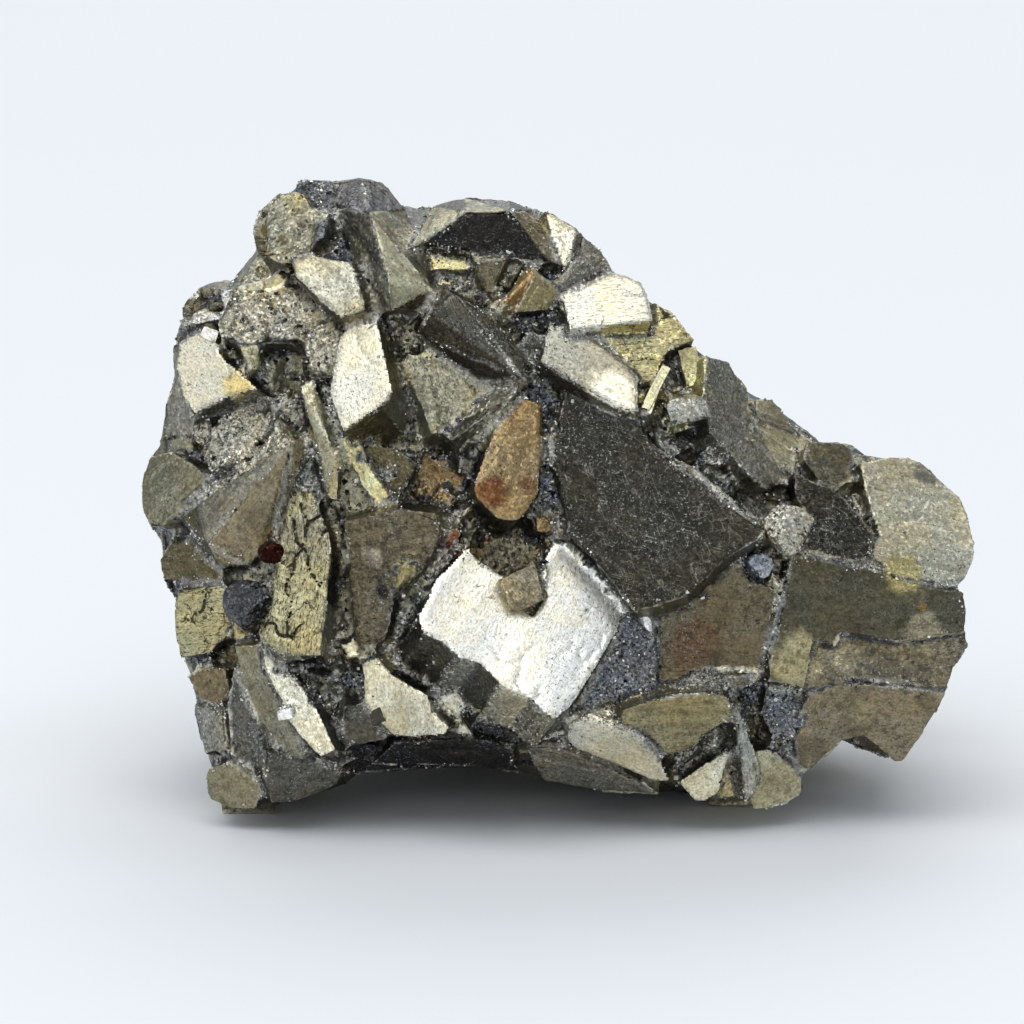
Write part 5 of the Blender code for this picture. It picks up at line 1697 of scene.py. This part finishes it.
def cut_ball(points, squared, number):
    """A ball of radius 1 with flats: along its axes for a block, by chance for a pebble."""
    chance = np.random.default_rng(GRAIN_SEED + number)
    cut = points * (1.0 + 0.5 * squared)
    axes = np.concatenate([np.eye(3), -np.eye(3)])
    flats = [(axis, 0.8 + 0.12 * chance.random()) for axis in axes if squared > BLOCK_FROM]
    for _ in range(GRAIN_PLANES):
        normal = chance.normal(size=3)
        limit = 0.5 + 0.35 * chance.random() + 0.45 * squared
        flats.append((normal / np.linalg.norm(normal), limit))
    for normal, limit in flats:
        cut = cut - normal * np.maximum(cut @ normal - limit, 0.0)[:, None]
    worn = rough_noise(points * 2.2 + 40.0 * number, seed=99) - 0.5
    return cut * (1.15 + 0.25 * worn)[:, None]


ball_points, ball_faces = ball()
print("a grain has", len(ball_faces), "triangles")

# %% [markdown]
# Each of these grains sits where the photograph's line of sight meets the dressed stone,
# about half buried in it, and takes its finish and its tone from the spot of its name.

# %% Placing the grains known one by one
GRAIN_RAISED = 0.06
known_spots = {**SPOTS, **LOOSE_GRAINS}
view_axes = np.array((view_right, view_up, -view_ahead))


def first_hit(trees, start):
    """The place where a line of sight first meets one of the slices."""
    hits = [tree.ray_cast(start, view_ahead) for tree in trees]
    hits = [hit for hit in hits if hit[0] is not None]
    return np.array(min(hits, key=lambda hit: hit[3])[0])


def turned(points, turn):
    """Points turned about the line of sight, by degrees."""
    angle = math.radians(turn)
    return points @ np.array(((math.cos(angle), math.sin(angle), 0.0),
                              (-math.sin(angle), math.cos(angle), 0.0), (0.0, 0.0, 1.0)))


def known_grain(trees, number, name):
    """One grain's points, in their place on the stone."""
    wide, high, deep, turn, squared = GRAIN_SIZES[name]
    column, row, _ = known_spots[name]
    place = first_hit(trees, pixel_to_place(column, row))
    grain = cut_ball(ball_points, squared, number) * (np.array((wide, high, deep)) / 2.0)
    raised = np.array(view_ahead) * deep * GRAIN_RAISED
    return turned(grain, turn) @ view_axes + place - raised


def finish_grains(mesh, each):
    """Gives each grain, which has this many points, the finish and tone of its name."""
    kinds = np.repeat([finish_names.index(known_spots[name][2]) for name in GRAIN_SIZES], each)
    # Each grain's tone is its painted light tone.
    shades = np.repeat([painted_light_tone_of.get(name, 1.0) for name in GRAIN_SIZES], each)[:, None]
    colours = np.minimum(each_finish("colour")[kinds] * shades, BRIGHTEST)
    store_finish(mesh, kinds, colours, each_finish("stain")[kinds] * shades,
                 np.tile((FAR, FAR, 0.0), (len(kinds), 1)), np.zeros(len(kinds)))
    store_face_frame(mesh, read_points(mesh), np.zeros(len(kinds), int))


def add_known_grains():
    """All of these grains as one mesh."""
    trees = [BVHTree.FromPolygons(read_points(part.data).tolist(),
                                  [tuple(face.vertices) for face in part.data.polygons])
             for part in slices[1:]]
    points = [known_grain(trees, number, name) for number, name in enumerate(GRAIN_SIZES)]
    faces = [ball_faces + len(ball_points) * number for number in range(len(points))]
    mesh = bpy.data.meshes.new("known_grains")
    mesh.from_pydata(np.concatenate(points).tolist(), [], np.concatenate(faces).tolist())
    finish_grains(mesh, len(ball_points))
    print("known grains:", len(GRAIN_SIZES), "in", len(mesh.polygons), "triangles")
    return put_in_scene("known_grains", mesh)


known_grains = add_known_grains()

# %% [markdown]
# The finished pieces go from millimetres to metres, and stand for the CAD node.

# %% The pieces take the stone's place
SHARP = math.radians(38.0)
for part in slices + [known_grains]:
    part.data.materials.clear()
    part.data.materials.append(pyrite_faces)
    part.data.shade_smooth()
    part.data.set_sharp_from_angle(angle=SHARP)
for part in slices + crust + [known_grains]:
    part.data.transform(Matrix.Scale(MM, 4))
    part.data.update()
    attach(part, "root")
    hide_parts("pyrite_cluster")
print("pieces:", len(slices + crust + [known_grains]))

# %% [markdown]
# The picture: a pale floor, soft lights and the photograph's own view. The large light
# overhead and in front is what the bright faces mirror. Little light comes from beside
# the camera, so the faces that look straight at it stay dark. A light's row gives its
# place and its size in metres, and how bright its surface is.

# %% Floor and lights
FLOOR_REACH = 3.0
FLOOR_COLOUR = (0.8, 0.82, 0.85, 1.0)
SKY_COLOUR = (0.86, 0.93, 1.0, 1.0)
SKY_STRENGTH = 0.4
STAGE_MIDDLE = Vector((0.0, 0.0, 0.015))
SOFTBOXES = {
    "overhead": ((-0.05, -0.22, 0.5), (0.6, 0.45), 1.9),
    "front": ((-0.1, -0.55, 0.2), (0.5, 0.3), 0.95),
    "left": ((-0.5, -0.15, 0.25), (0.25, 0.4), 1.35),
    "right": ((0.5, 0.05, 0.3), (0.25, 0.4), 1.2),
    "behind": ((0.0, 0.6, 0.5), (0.8, 0.5), 2.1),
}


def add_floor():
    """A wide square floor, which belongs to the picture and not to the stone."""
    shape = bmesh.new()
    bmesh.ops.create_grid(shape, x_segments=1, y_segments=1, size=FLOOR_REACH)
    mesh = bpy.data.meshes.new("floor")
    shape.to_mesh(mesh)
    shape.free()
    floor = put_in_scene("floor", mesh)
    made, tree, surface = new_material("floor")
    set_inputs(tree, surface, Base_Color=FLOOR_COLOUR, Roughness=0.7)
    mesh.materials.append(made)
    floor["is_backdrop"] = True


def add_softbox(name, place, size, brightness):
    """A light aimed at the stone."""
    lamp = bpy.data.lights.new(name, "AREA")
    lamp.shape = "RECTANGLE"
    lamp.size, lamp.size_y = size
    lamp.energy = brightness * math.pi * size[0] * size[1]
    thing = bpy.data.objects.new(name, lamp)
    thing.location = place
    aim = STAGE_MIDDLE - Vector(place)
    thing.rotation_euler = aim.to_track_quat("-Z", "Y").to_euler()
    bpy.context.scene.collection.objects.link(thing)


add_floor()
for name, (place, size, brightness) in SOFTBOXES.items():
    add_softbox(name, place, size, brightness)
world = bpy.data.worlds.new("studio")
world.use_nodes = True
sky = world.node_tree.nodes["Background"]
sky.inputs["Color"].default_value = SKY_COLOUR
sky.inputs["Strength"].default_value = SKY_STRENGTH
bpy.context.scene.world = world
print("lights:", len(SOFTBOXES))

# %% [markdown]
# The camera looks down by the photograph's angle from far off through a long lens, which
# hardly shows perspective. It is aimed so that the stone fills the same pixels.

# %% Camera
VIEW_DEPTH = -4.0
LENS_MM = 250.0
SENSOR_MM = 36.0
NEAREST_SEEN = 0.01


def add_camera():
    """The photograph's view, from the same measures as the spots."""
    lens = bpy.data.cameras.new("camera")
    lens.lens = LENS_MM
    lens.sensor_width = SENSOR_MM
    lens.clip_start = NEAREST_SEEN
    thing = bpy.data.objects.new("camera", lens)
    half = IMAGE_SIDE / 2
    target = view_right * ((half - MIDDLE_COLUMN) / PIXELS_PER_MM)
    target += view_up * (highest - (half - TOP_ROW) / PIXELS_PER_MM)
    target += view_ahead * VIEW_DEPTH
    away = LENS_MM / SENSOR_MM * IMAGE_SIDE / PIXELS_PER_MM
    turn = Matrix((view_right, view_up, -view_ahead)).transposed().to_4x4()
    thing.matrix_world = Matrix.Translation((target - view_ahead * away) * MM) @ turn
    bpy.context.scene.collection.objects.link(thing)
    bpy.context.scene.camera = thing
    print("camera stands off, mm:", round(away, 1))


add_camera()
bpy.context.scene.view_settings.view_transform = "Standard"
bpy.context.scene.cycles.max_bounces = 4
bpy.context.scene.cycles.diffuse_bounces = 2

# %% [markdown]
# Last, the sizes are printed.

# %% Sizes
low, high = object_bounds()
print("size, mm:", [round((h - l) / MM, 2) for l, h in zip(low, high)])
